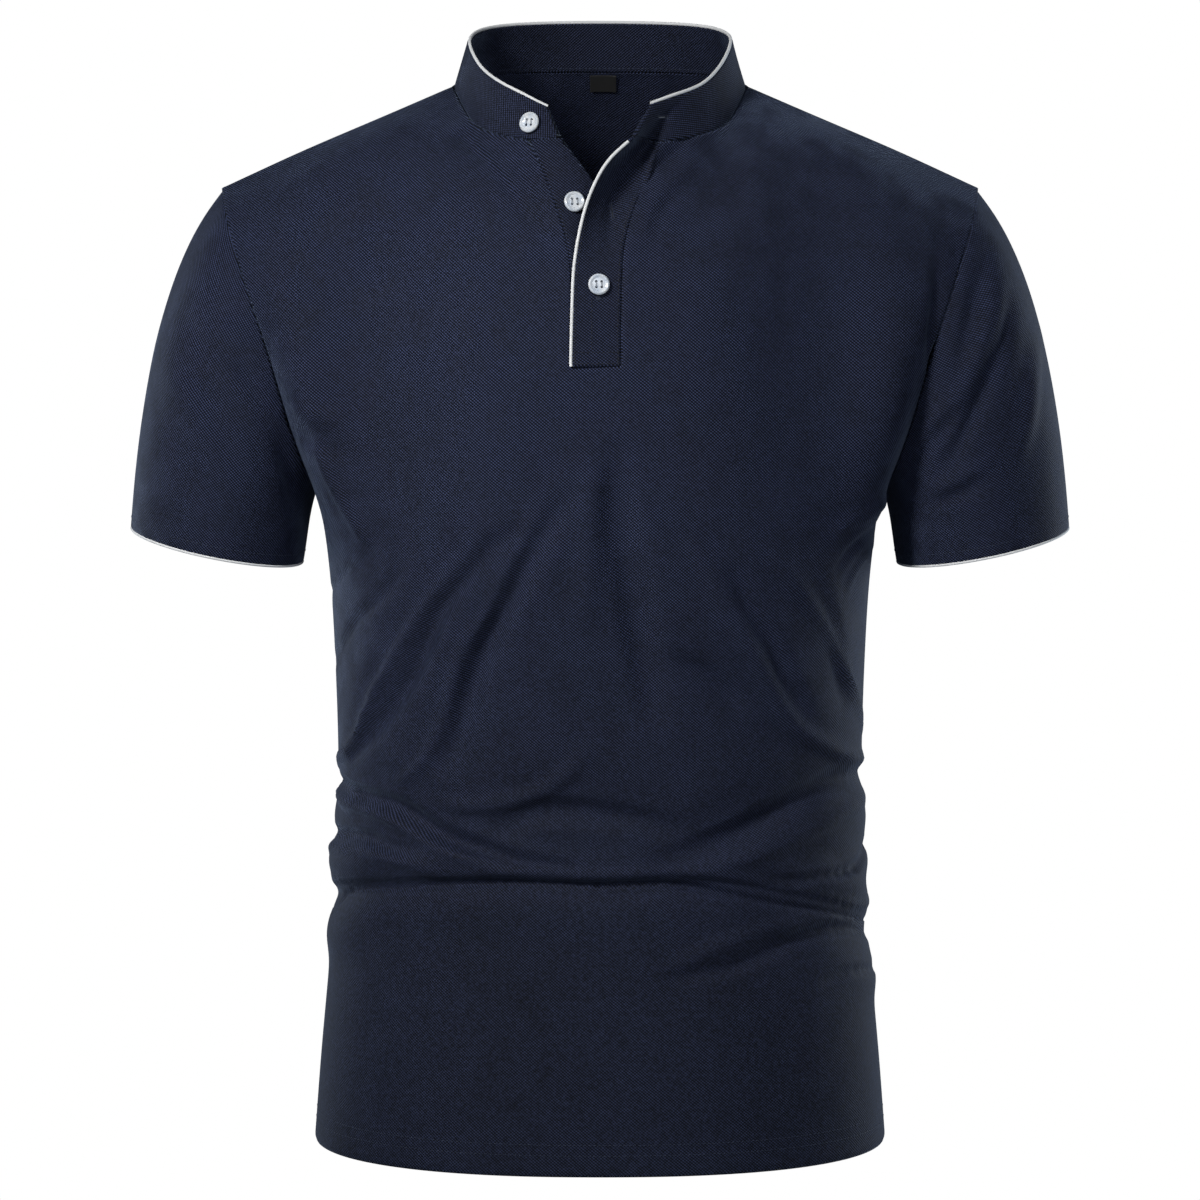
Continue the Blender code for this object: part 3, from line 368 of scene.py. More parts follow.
def corners_kept(mesh):
    """Keeps the corners of the cloth sharp when it is subdivided, so that its seams meet there."""
    bm = bmesh.new()
    bm.from_mesh(mesh)
    crease = bm.verts.layers.float.new("crease_vert")
    for vertex in bm.verts:
        rim = [edge for edge in vertex.link_edges if edge.is_boundary]
        if len(rim) == 2:
            one, other = ((edge.other_vert(vertex).co - vertex.co).normalized() for edge in rim)
            vertex[crease] = 1.0 if one.dot(other) > CORNER else 0.0
    bm.to_mesh(mesh)
    bm.free()


def refined(piece, levels):
    """Subdivides the piece's grid."""
    corners_kept(piece.data)
    modifier = piece.modifiers.new("refine", "SUBSURF")
    modifier.levels = modifier.render_levels = levels
    modifier.boundary_smooth = "PRESERVE_CORNERS"
    mesh = worked_out(piece)
    piece.modifiers.clear()
    piece.data = mesh


# Folds of the body. Heights and widths are in millimetres, and a trough's lift is negative. The path runs
# through places given as degrees round from centre front, towards the wearer's left, and height. It is the
# line where the fold's light or shade shows, and the fold's middle lies beyond it, away from the light. The
# two half widths are those to the left and to the right of somebody who follows the path.
BODY_FOLDS = (  # lift, half width on its left, half width on its right, path
    # Drags from the chest down to the wearer's right side.
    (-2.4, 7, 6, (-49, -277), (-57, -287), (-76, -301), (-96, -310)),
    (-3.0, 7, 6, (-41, -282), (-47, -301), (-58, -317), (-71, -337), (-92, -352)),
    (4.4, 8, 5, (-29, -281), (-38, -310), (-44, -331), (-54, -362), (-66, -397), (-88, -412)),
    (-6.4, 11, 9, (-17, -260), (-22, -270), (-27, -288), (-34, -310), (-38, -330), (-44, -355),
     (-54, -382), (-66, -400)),
    (3.4, 7, 6, (-14, -258), (-18, -280), (-23, -309), (-28, -329), (-32, -354), (-35, -378),
     (-41, -404), (-47, -415)),
    (-5.4, 11, 9, (-8, -240), (-10, -251), (-14, -272), (-18, -296), (-23, -321), (-27, -345),
     (-30, -366), (-32, -386), (-36, -407)),
    # The middle of the chest.
    (2.6, 9, 12, (-2, -220), (-3, -244), (-4, -284), (-4, -316)),
    (-5.6, 15, 13, (0, -218), (1, -256), (3, -287), (5, -320), (7, -348), (9, -372)),
    # Drags from the chest down to the wearer's left side.
    (-2.2, 7, 6, (9, -252), (16, -280), (23, -307), (27, -329)),
    (4.8, 8, 8, (18, -272), (23, -292), (29, -321), (35, -346), (42, -373), (50, -389), (70, -406),
     (92, -412)),
    (-4.8, 8, 8, (25, -291), (29, -313), (35, -336), (39, -355), (45, -374)),
    (-3.2, 13, 13, (40, -286), (48, -319), (55, -350), (59, -371)),
    (3.4, 7, 7, (35, -277), (43, -299), (51, -320), (59, -344), (70, -369), (84, -390)),
    (-4.8, 8, 8, (16, -336), (22, -345), (27, -357), (31, -368)),
    (2.6, 7, 7, (80, -247), (64, -250), (52, -258), (48, -270)),
    (-2.6, 7, 7, (80, -262), (62, -267), (55, -276), (51, -287)),
    (2.0, 6, 6, (82, -276), (67, -282), (61, -289), (57, -303)),
    # The roll of the belly, and the folds above the long waist crease.
    (2.3, 8, 9, (-4, -393), (-9, -409), (-17, -421), (-29, -427), (-39, -424)),
    (-6.9, 8, 11, (-102, -420), (-81, -423), (-56, -426), (-45, -431), (-34, -444), (-26, -450),
     (-17, -457), (-7, -462)),
    (2.9, 6, 6, (-100, -430), (-78, -434), (-55, -436), (-45, -444), (-35, -453), (-23, -460)),
    (-3.6, 6, 6, (-106, -460), (-88, -457), (-62, -452), (-51, -455), (-41, -457)),
    (2.6, 6, 6, (-106, -470), (-88, -467), (-60, -461), (-45, -464), (-35, -468)),
    (-4.8, 11, 13, (-22, -436), (-15, -428), (-7, -426), (0, -428), (9, -432), (16, -437)),
    (-7.2, 14, 11, (98, -416), (70, -415), (57, -415), (45, -423), (36, -434), (28, -443), (21, -450),
     (13, -457)),
    (2.8, 9, 9, (100, -434), (69, -435), (48, -446), (37, -454), (27, -462)),
    (-3.6, 6, 7, (104, -462), (84, -468), (69, -474), (52, -475), (38, -475)),
    # The long waist crease, all the way round, and the roll that hangs over it.
    (-3.0, 5, 3, (-108, -500), (-84, -508), (-67, -490), (-47, -482), (-31, -477), (-18, -475),
     (-3, -476), (12, -475), (22, -478), (29, -483), (40, -490), (57, -500), (85, -515), (104, -512),
     (118, -504)),
    (2.2, 7, 5, (-96, -492), (-74, -483), (-52, -475), (-35, -470), (-17, -466), (0, -468),
     (17, -466), (30, -471), (46, -482), (74, -500), (96, -503)),
    (-2.8, 5, 5, (112, -506), (135, -498), (158, -503), (180, -500), (206, -494), (230, -493),
     (252, -501)),
    (2.2, 8, 7, (110, -492), (135, -485), (158, -490), (180, -487), (206, -481), (230, -480),
     (252, -488)),
    # Below the crease.
    (2.4, 8, 10, (70, -496), (44, -501), (37, -502), (24, -513), (16, -522)),
    (-3.4, 7, 8, (108, -524), (88, -521), (61, -509), (48, -509), (37, -517), (28, -525), (16, -530)),
    (-2.2, 6, 6, (100, -545), (82, -542), (62, -536), (52, -540)),
    # From the neck down to the placket.
    (-4.7, 6, 6, (-48, -26), (-31, -42), (-20, -62), (-11, -88)),
    (3.4, 6, 6, (-38, -31), (-25, -46), (-16, -68)),
    (-3.6, 5, 5, (-29, -35), (-20, -51), (-12, -74)),
    # The trough that the open strip sinks into, across its seam to the wearer's left.
    (-3.4, 7, 8, (26, -24), (19, -38), (11, -51), (3, -66), (1, -92)),
    (1.8, 6, 6, (28, -38), (19, -54), (11, -70), (7, -94)),
    (-1.6, 5, 5, (22, -50), (15, -68), (10, -90)),
    # Beside the armholes.
    (-3.1, 9, 9, (-62, -206), (-56, -209), (-50, -216)),
    (2.6, 6, 6, (-61, -192), (-55, -193), (-50, -197)),
    (2.9, 6, 6, (-57, -212), (-56, -237), (-53, -263), (-50, -276)),
    (-3.4, 7, 7, (67, -92), (64, -124), (63, -149), (64, -168)),
    (-2.1, 6, 6, (71, -90), (69, -106), (67, -122)),
    # The back: drags from the shoulder blades, and folds round the small of the back.
    (-3.9, 10, 10, (204, -226), (214, -262), (226, -300), (242, -338), (258, -366)),
    (3.4, 9, 9, (196, -240), (206, -280), (218, -322), (234, -362)),
    (-3.4, 9, 9, (192, -276), (198, -318), (206, -360), (214, -392)),
    (-3.9, 10, 10, (158, -222), (146, -262), (134, -300), (118, -340), (100, -366)),
    (3.4, 9, 9, (166, -240), (154, -284), (142, -324), (126, -364)),
    (-2.9, 9, 9, (170, -286), (162, -330), (154, -372)),
    (-4.4, 8, 8, (262, -418), (238, -428), (214, -434), (190, -424)),
    (3.6, 8, 8, (264, -434), (238, -444), (212, -450), (184, -440)),
    (-3.9, 7, 7, (100, -424), (122, -436), (146, -448), (170, -446)),
    (3.4, 7, 7, (98, -438), (122, -450), (146, -462), (168, -462)),
    (-3.1, 7, 7, (258, -458), (236, -466), (214, -470)),
    (-3.1, 8, 8, (104, -534), (128, -526), (150, -532), (168, -544)),
    (-2.9, 8, 8, (250, -520), (228, -518), (206, -528)),
)
# Folds of the sleeves: side (-1 is the wearer's right), face (-1 is the front), then as above, but the
# path's places are millimetres out from the middle of the body, and height.
SLEEVE_FOLDS = (
    (-1, -1, -3.2, 6, 6, (215, -165), (207, -180), (196, -193), (184, -205)),
    (-1, -1, -2.5, 9, 9, (248, -138), (234, -157), (221, -171), (208, -182)),
    (-1, -1, -2.5, 9, 9, (248, -170), (234, -190), (222, -213), (209, -234)),
    (-1, -1, 2.2, 8, 8, (240, -150), (222, -176), (204, -200)),
    (-1, -1, -3.8, 9, 9, (190, -212), (183, -233), (182, -256)),
    (-1, 1, -3.0, 9, 9, (246, -134), (226, -164), (204, -190)),
    (-1, 1, 2.8, 9, 9, (252, -152), (232, -182), (208, -210)),
    (-1, 1, -2.8, 8, 8, (230, -206), (208, -230), (190, -246)),
    (1, -1, -3.8, 8, 8, (231, -98), (224, -120), (219, -140), (213, -164)),
    (1, -1, -3.8, 8, 8, (244, -134), (234, -163), (224, -190), (213, -213), (200, -232)),
    (1, -1, -2.8, 7, 7, (210, -195), (200, -208), (189, -220)),
    (1, -1, -2.5, 8, 8, (230, -234), (213, -243), (196, -249)),
    (1, -1, 3.0, 8, 8, (239, -116), (230, -145), (216, -178), (194, -206)),
    (1, -1, 2.0, 5, 5, (241, -132), (237, -149), (233, -164)),
    (1, -1, 3.0, 9, 9, (262, -150), (258, -175), (255, -199), (250, -222)),
    (1, -1, 2.2, 7, 7, (233, -223), (216, -233), (200, -243)),
    (1, 1, -3.0, 9, 9, (248, -130), (228, -166), (204, -196)),
    (1, 1, 2.8, 9, 9, (256, -150), (236, -184), (210, -214)),
    (1, 1, -2.8, 8, 8, (232, -200), (212, -226), (192, -244)),
)
BODY_WIDTH, BODY_DEPTH = 0.172, 0.115  # half sizes of the mean section, which give a place its degrees
BODY_ARC = 2.6  # millimetres round for each degree
FACE_BLEND = 2.5  # how sharply the folds of a sleeve's front end where it turns to the back
AWAY_FROM_LIGHT = (0.65, -0.75)  # across the front, towards the wearer's left, and up
FADE = 0.6  # how soon a fold dies out towards its ends
BEYOND_SHADE = 0.45  # the middle of a fold lies this share of its half width beyond its light or shade


def smooth_path(stops, steps=8):
    """Points of a Catmull-Rom line through the stops."""
    stops = np.array(stops, float)
    stops = np.concatenate([[2 * stops[0] - stops[1]], stops, [2 * stops[-1] - stops[-2]]])
    line = []
    for a, b, c, d in zip(stops, stops[1:], stops[2:], stops[3:]):
        for t in np.arange(steps) / steps:
            line.append(
                ((-t + 2 * t**2 - t**3) * a + (2 - 5 * t**2 + 3 * t**3) * b
                 + (t + 4 * t**2 - 3 * t**3) * c + (t**3 - t**2) * d) / 2
            )
    return np.array([*line, stops[-2]])


def fold_lift(fold, degrees, height, arc):
    """How far one fold lifts each place, in millimetres."""
    lift, left_width, right_width, *stops = fold
    path = smooth_path(stops) * (arc, 1)
    onward = np.gradient(path, axis=0)
    beside = np.stack([-onward[:, 1], onward[:, 0]], axis=1)
    beside /= np.hypot(onward[:, 0], onward[:, 1])[:, None]
    beside *= np.sign(beside.mean(axis=0) @ AWAY_FROM_LIGHT)
    path = path + beside * BEYOND_SHADE * (left_width + right_width) / 2
    fade = np.sin(np.pi * np.linspace(0.04, 0.96, len(path))) ** FADE
    turn = 360 * arc
    across = (degrees * arc - path[:, 0].mean() + turn / 2) % turn - turn / 2 + path[:, 0].mean()
    reach = max(left_width, right_width)
    near = np.nonzero(
        (across > path[:, 0].min() - reach) & (across < path[:, 0].max() + reach)
        & (height > path[:, 1].min() - reach) & (height < path[:, 1].max() + reach)
    )[0]
    lifted = np.zeros(len(degrees))
    if len(near):
        offset = np.stack([across[near], height[near]], axis=1)[:, None] - path[None]
        closest = np.hypot(offset[..., 0], offset[..., 1]).argmin(axis=1)
        offset = offset[np.arange(len(near)), closest]
        heading = onward[closest]
        side = heading[:, 0] * offset[:, 1] - heading[:, 1] * offset[:, 0]
        share = np.hypot(offset[:, 0], offset[:, 1]) / np.where(side > 0, left_width, right_width)
        lifted[near] = lift * fade[closest] * np.cos(np.clip(share, 0, 1) * np.pi / 2) ** 2
    return lifted


def folded(piece, node):
    """Presses a panel's folds into it."""
    mesh = piece.data
    points = np.array([vertex.co for vertex in mesh.vertices])
    normals = np.array([vertex.normal for vertex in mesh.vertices])
    height = points[:, 2] * 1000
    if not node.startswith("sleeve"):
        degrees = np.degrees(np.arctan2(points[:, 0] / BODY_WIDTH, -points[:, 1] / BODY_DEPTH))
        lift = sum(fold_lift(fold, degrees, height, BODY_ARC) for fold in BODY_FOLDS)
    else:
        side = 1 if node.endswith("left") else -1
        lift = sum(
            fold_lift(fold, points[:, 0] * side * 1000, height, 1.0)
            * np.clip(normals[:, 1] * face * FACE_BLEND, 0, 1)
            for owner, face, *fold in SLEEVE_FOLDS if owner == side
        )
    mesh.vertices.foreach_set("co", (points + normals * lift[:, None] / 1000).astype(np.float32).ravel())
    mesh.update()


def bordered(piece, node):
    """Adds a narrow border round the cloth, for its seams, and finer rows where the waist creases lie."""
    bm = bmesh.new()
    bm.from_mesh(piece.data)
    if node in ("front", "back"):
        upright = [
            edge for edge in bm.edges
            if WAIST_LOW < (edge.verts[0].co.z + edge.verts[1].co.z) / 2 < WAIST_HIGH
            and abs(edge.verts[0].co.z - edge.verts[1].co.z) > UPRIGHT * edge.calc_length()
        ]
        bmesh.ops.subdivide_edges(bm, edges=upright, cuts=1, use_grid_fill=True)
    bmesh.ops.inset_region(
        bm, faces=bm.faces[:], thickness=BORDER, use_boundary=True, use_even_offset=False,
        use_interpolate=True,
    )
    bm.to_mesh(piece.data)
    bm.free()


def turned_in(piece):
    """Rolls the cloth's edge in, and notes for each place on it the normal and the way into the cloth."""
    bm = bmesh.new()
    bm.from_mesh(piece.data)
    rim = []
    for vertex in bm.verts:
        if not vertex.is_boundary:
            continue
        inner = [edge.other_vert(vertex) for edge in vertex.link_edges if not edge.is_boundary]
        if inner:
            rim.append((vertex, vertex.normal.copy(), (inner[0].co - vertex.co).normalized()))
    EDGES[piece.name] = [(vertex.co.copy(), normal, inward) for vertex, normal, inward in rim]
    SURFACES[piece.name] = BVHTree.FromBMesh(bm)
    for vertex, normal, inward in rim:
        vertex.co -= normal * SEAM_SINK + inward * SEAM_REACH
    bm.to_mesh(piece.data)
    bm.free()


def thickened(piece, wall):
    modifier = piece.modifiers.new("cloth", "SOLIDIFY")
    modifier.thickness = wall
    modifier.offset = -1.0
    modifier.use_even_offset = False
    modifier.use_quality_normals = True
    piece.data.shade_smooth()


def sewn_cloth(name, node, finish, core=(0.0, 0.0), levels=2, wall=KNIT):
    piece = shown_object(name, mesh_of(name, outer_face(node, core)), finish)
    laid_flat(piece, slit_of(piece.data) if node.startswith("sleeve") else ())
    refined(piece, levels)
    bordered(piece, node)
    if node != "collar_band":
        folded(piece, node)
    turned_in(piece)
    thickened(piece, wall)
    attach(piece, ROOT)
    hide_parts(node)
    return piece


def slit_of(mesh):
    """The edges down a sleeve's inner side, from the armpit to the cuff."""
    bm = bmesh.new()
    bm.from_mesh(mesh)
    bm.edges.ensure_lookup_table()
    rim = [v for v in bm.verts if v.is_boundary]
    side = 1 if sum(v.co.x for v in bm.verts) > 0 else -1
    vertex = min(rim, key=lambda v: v.co.x * side + abs(v.co.y) * 0.5 + (v.co.z - ARMPIT_HEIGHT) ** 2)
    path, before = [], None
    while True:
        onward = [e for e in vertex.link_edges if not e.is_boundary and e is not before]
        if before is not None:
            if vertex.is_boundary:
                break
            heading = (vertex.co - before.other_vert(vertex).co).normalized()
            onward.sort(key=lambda e: -(e.other_vert(vertex).co - vertex.co).normalized().dot(heading))
        before = onward[0]
        path.append(before.index)
        vertex = before.other_vert(vertex)
    bm.free()
    return path


# --- sewing -------------------------------------------------------------------------------------------
BAND_TIP, NEAR_TIP = -0.0865, -0.07  # forward of the first, the band's rim is its front ends
HEM_ROWS = (0.0125, 0.0190)  # above the body's hem
CUFF_ROW = 0.0065  # above the cuff's edge
NECK_ROW = 0.0022  # above the seam between the band and the shirt
PLACKET_ROW = 0.0016  # inside both edges of the over strip
NECK_FORWARD, CUFF_MIDDLE = 0.012, 0.2367  # what the order round the neck and the cuff is taken about
BEFORE_THE_FRONT = -0.3
BOX_TOP, BOX_FOOT = -0.1572, -0.1638  # the box of stitches at the placket's foot
BOX_RIGHT, BOX_LEFT = -0.0150, 0.0110  # its sides, on the wearer's right and left
TACK_TOP, TACK_SIDE = -0.126, -0.0048  # the row that runs down to the box
STITCH, STITCH_GAP, STITCH_WIDTH = 0.0023, 0.0007, 0.00045
STITCH_PROUD = 0.18  # how far its middle stands off the cloth, as a share of its width
NECK_BRAID, CUFF_BRAID = 0.0010, 0.0008  # radius
BRAID_BEYOND, BRAID_STEP = 0.75, 1.2  # its middle past the cloth's edge, and its points, in radiuses
BUTTON_THICK = 0.0024
BUTTON_HOLE, BUTTON_SPACING = 0.0008, 0.0016  # radius of a hole, and how far it lies from both middle lines
BUTTON_PROFILE = (  # out from the middle, up
    (0.0, 0.0), (0.0054, 0.0), (0.0060, 0.0003), (0.00632, 0.0010), (0.00630, 0.0016), (0.0059, 0.0021),
    (0.0053, 0.0024), (0.0047, 0.0022), (0.0042, 0.0018), (0.0037, 0.0017), (0.0, 0.0017),
)
THREAD_LANE, THREAD_HEIGHT, THREAD_WIDTH = 0.0002, 0.00185, 0.00042  # the bars over a button
SHANK_FOOT, SHANK_TOP, SHANK_LONG, SHANK_HEIGHT = 0.0022, 0.0018, 0.0014, -0.0005  # thread behind it
HOLE_PITCH, HOLE_EDGE, HOLE_STITCH = 0.00055, 0.00075, 0.0013  # stitches along both sides of a buttonhole
BAR_BEYOND, BAR_LANE = 0.0002, 0.00035  # the bar at each end of it
SLIT_WIDTH = 0.0005
LABEL_TRIM, LABEL_THICK = 0.98, 0.0008


def around_body(place):
    angle = math.atan2(place.x, -place.y)
    return angle % TURN if place.y > 0 else angle


def around_neck(place):
    return math.atan2(place.x, -place.y - NECK_FORWARD) % TURN


def around_cuff(side):
    return lambda place: math.atan2(place.y, place.x * side - CUFF_MIDDLE)


def downward(place):
    return -place.z


def on_band_top(place, inward):
    """On the top edge of the band, short of its two front ends, where the rim turns sideways."""
    at_end = place.y < BAND_TIP or (place.y < NEAR_TIP and abs(inward.x) > 0.75)
    return inward.z < -0.3 and not at_end


def edge_of(piece, chosen, order):
    """A stretch of a piece's edge, in order: each place, its normal and the way into the cloth."""
    stretch = [spot for spot in EDGES[piece.name] if chosen(spot[0], spot[2])]
    return sorted(stretch, key=lambda spot: order(spot[0]))


def laid_on(piece, edge, inside):
    """A line on the cloth at this distance from its edge: places and normals."""
    line = []
    for place, normal, inward in edge:
        spot, facing, _, _ = SURFACES[piece.name].find_nearest(place + inward * inside)
        line.append((spot, facing if facing.dot(normal) > 0 else -facing))
    return line


def from_front(piece, corners, step=0.001):
    """A line on the cloth under straight lines that are drawn on it from the front, as x and height."""
    line = []
    for (x, z), (next_x, next_z) in zip(corners, corners[1:]):
        count = max(2, round(math.hypot(next_x - x, next_z - z) / step))
        for share in np.linspace(0, 1, count, endpoint=False):
            start = Vector((x + (next_x - x) * share, BEFORE_THE_FRONT, z + (next_z - z) * share))
            spot, facing, _, _ = SURFACES[piece.name].ray_cast(start, Vector((0, 1, 0)))
            if spot is not None:
                line.append((spot, facing if facing.y < 0 else -facing))
    return line


def finished(name, bm, carrier, material):
    """A small made piece that rides with the shirt."""
    bmesh.ops.recalc_face_normals(bm, faces=bm.faces)
    mesh = mesh_of(name, bm)
    mesh.shade_smooth()
    piece = shown_object(name, mesh, material)
    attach(piece, ROOT)
    SEWN.setdefault(carrier, []).append(piece)


def one_stitch(bm, place, ahead, normal, long, width):
    """A plump stitch, half sunk in the cloth."""
    across = normal.cross(ahead).normalized()
    up = ahead.cross(across)
    turn = Matrix((ahead * long / 2, across * width / 2, up * width / 2)).transposed().to_4x4()
    turn.translation = place + normal * width * STITCH_PROUD
    lying = turn @ Matrix.Rotation(math.pi / 2, 4, "Y")
    bmesh.ops.create_uvsphere(bm, u_segments=6, v_segments=5, radius=1.0, matrix=lying)


def evenly(line, pitch):
    """Places a pitch apart along a line, with the way ahead and the normal at each."""
    places = np.array([spot for spot, _ in line])
    normals = np.array([normal for _, normal in line])
    lengths = np.concatenate([[0], np.cumsum(np.linalg.norm(np.diff(places, axis=0), axis=1))])
    count = max(1, int(lengths[-1] / pitch))
    found = []
    for number in range(count):
        at = (number + 0.5) * lengths[-1] / count
        spot, ahead_of, behind = (
            Vector([np.interp(at + step, lengths, places[:, axis]) for axis in range(3)])
            for step in (0, pitch * 0.3, -pitch * 0.3)
        )
        normal = Vector([np.interp(at, lengths, normals[:, axis]) for axis in range(3)]).normalized()
        found.append((spot, (ahead_of - behind).normalized(), normal))
    return found


def stitch_row(name, carrier, line, thread):
    bm = bmesh.new()
    for place, ahead, normal in evenly(line, STITCH + STITCH_GAP):
        one_stitch(bm, place, ahead, normal, STITCH, STITCH_WIDTH)
    finished(name, bm, carrier.name, thread)


def piping(name, node, edge, radius, wall, closed=False):
    """A round braid along an edge of the cloth, in place of the plain one."""
    route = [place - normal * wall / 2 - inward * (radius * BRAID_BEYOND) for place, normal, inward in edge]
    line = [(place, Vector((0, 0, 1))) for place in route]
    places = [spot for spot, _, _ in evenly(line, radius * BRAID_STEP)]
    if closed:
        places = places[:-1]
    curve = bpy.data.curves.new(name, "CURVE")
    curve.dimensions = "3D"
    curve.bevel_depth = radius
    curve.bevel_resolution = 2
    curve.use_fill_caps = True
    spline = curve.splines.new("POLY")
    spline.points.add(len(places) - 1)
    for point, place in zip(spline.points, places):
        point.co = (*place, 1.0)
    spline.use_cyclic_u = closed
    holder = bpy.data.objects.new(name + "_route", curve)
    bpy.context.scene.collection.objects.link(holder)
    mesh = worked_out(holder)
    bpy.data.objects.remove(holder)
    mesh.name = name
    mesh.materials.clear()
    mesh.shade_smooth()
    piece = shown_object(name, mesh, WHITE_BRAID)
    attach(piece, ROOT)
    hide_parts(node)


def lie_of(node):
    """The middle of a flat node, and the direction through it, facing the front."""
    points = np.array([vertex.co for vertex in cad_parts[node].data.vertices])
    points = np.unique(points.round(6), axis=0)
    middle = (points.min(axis=0) + points.max(axis=0)) / 2
    through = np.linalg.svd(points - points.mean(axis=0), full_matrices=False)[2][2]
    return Vector(middle), Vector(through * (-1 if through[1] > 0 else 1))


def turned_button(name):
    """A button's resin, flat on the origin: its profile turned round, then drilled with four holes."""
    bm = bmesh.new()
    corners = [bm.verts.new((out, 0, up)) for out, up in BUTTON_PROFILE]
    edges = [bm.edges.new(pair) for pair in zip(corners, corners[1:])]
    turned = {"axis": (0, 0, 1), "cent": (0, 0, 0), "angle": TURN, "steps": 48, "use_merge": True}
    bmesh.ops.spin(bm, geom=corners + edges, **turned)
    bmesh.ops.remove_doubles(bm, verts=bm.verts, dist=1e-6)
    bmesh.ops.recalc_face_normals(bm, faces=bm.faces)
    piece = shown_object(name, mesh_of(name, bm), RESIN)

    drill = bmesh.new()
    for x in (-BUTTON_SPACING, BUTTON_SPACING):
        for y in (-BUTTON_SPACING, BUTTON_SPACING):
            bmesh.ops.create_cone(
                drill, cap_ends=True, segments=16, radius1=BUTTON_HOLE, radius2=BUTTON_HOLE, depth=0.008,
                matrix=Matrix.Translation((x, y, 0.001)),
            )
    driller = bpy.data.objects.new("drill", mesh_of("drill", drill))
    bpy.context.scene.collection.objects.link(driller)
    cut = piece.modifiers.new("holes", "BOOLEAN")
    cut.object = driller
    drilled = worked_out(piece)
    piece.modifiers.clear()
    piece.data = drilled
    bpy.data.objects.remove(driller)
    return piece


def sewn_button(number):
    """A four-hole button with a rolled rim and a dished middle, sewn on with two bars of thread."""
    node = f"button_{number}"
    middle, through = lie_of(node)
    through.normalize()
    facing = through.to_track_quat("Z", "Y").to_matrix().to_4x4()
    place = Matrix.Translation(middle - through * BUTTON_THICK / 2) @ facing
    piece = turned_button(node + "_resin")
    piece.data.transform(place)
    piece.data.shade_smooth()
    piece.data.set_sharp_from_angle(angle=math.radians(40))
    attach(piece, ROOT)
    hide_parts(node)

    threads = bmesh.new()
    bar = BUTTON_SPACING * 2 + BUTTON_HOLE * 0.3
    for x in (-BUTTON_SPACING, BUTTON_SPACING):
        for lane in (-THREAD_LANE, THREAD_LANE):
            over = Vector((x + lane, 0, THREAD_HEIGHT))
            one_stitch(threads, over, Vector((0, 1, 0)), Vector((0, 0, 1)), bar, THREAD_WIDTH)
    bmesh.ops.create_cone(
        threads, cap_ends=True, segments=12, radius1=SHANK_FOOT, radius2=SHANK_TOP, depth=SHANK_LONG,
        matrix=Matrix.Translation((0, 0, SHANK_HEIGHT)),
    )
    bmesh.ops.transform(threads, verts=threads.verts, matrix=place)
    carrier = "front_panel" if number == 3 else "placket_under_cloth"
    finished(node + "_thread", threads, carrier, PALE_THREAD)


def buttonhole(name, carrier, start, end, thread, slit_painted_light):
    """A worked hole: a slit with close stitches all round it. Its ends are x and height from the front. The
    slit's colour is painted light.
    """
    line = from_front(carrier, [start, end], step=0.0004)
    length = sum((b[0] - a[0]).length for a, b in zip(line, line[1:]))
    bm = bmesh.new()
    for place, ahead, normal in evenly(line, HOLE_PITCH):
        across = normal.cross(ahead).normalized()
        for side in (-HOLE_EDGE, HOLE_EDGE):
            one_stitch(bm, place + across * side, across, normal, HOLE_STITCH, STITCH_WIDTH)
    place, ahead, normal = evenly(line, length)[0]
    across = normal.cross(ahead).normalized()
    for end_sign in (-1, 1):
        for lane in (-BAR_LANE, 0, BAR_LANE):
            middle = place + ahead * end_sign * (length / 2 + BAR_BEYOND + lane)
            one_stitch(bm, middle, across, normal, HOLE_STITCH * 2, STITCH_WIDTH)
    finished(name, bm, carrier.name, thread)
    slit = bmesh.new()
    one_stitch(slit, place, ahead, normal, length, SLIT_WIDTH)
    # The slit's colour is painted light: pale for a highlight on the opening's lit edge, dark for the shade
    # inside it.
    finished(name + "_slit", slit, carrier.name, slit_painted_light)


def woven_label():
    """A bare woven label, hanging from the back neck seam."""
    middle, through = lie_of("neck_label")
    wide = Vector((1, 0, 0))
    wide = (wide - through * wide.dot(through)).normalized()
    down = through.cross(wide).normalized()
    if down.z > 0:
        down = -down
    points = [vertex.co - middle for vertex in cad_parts["neck_label"].data.vertices]
    half_wide = max(point.dot(wide) for point in points) * LABEL_TRIM
    half_long = max(point.dot(down) for point in points) * LABEL_TRIM
    bm = bmesh.new()
    bmesh.ops.create_grid(bm, x_segments=16, y_segments=12, size=1.0)
    for vertex in bm.verts:
        across, along = vertex.co.x, vertex.co.y
        curl = 0.0002 + 0.0005 * across**2 + 0.0004 * max(along, 0) ** 2
        vertex.co = middle + wide * across * half_wide + down * along * half_long + through * curl
    mesh = mesh_of("label_cloth", bm)
    mesh.shade_smooth()
    piece = shown_object("label_cloth", mesh, TAPE)
    cloth = piece.modifiers.new("cloth", "SOLIDIFY")
    cloth.thickness = LABEL_THICK
    cloth.offset = 0.0
    fold = piece.modifiers.new("fold", "BEVEL")
    fold.width = 0.00025
    fold.segments = 2
    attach(piece, ROOT)
    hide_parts("neck_label")
    return piece


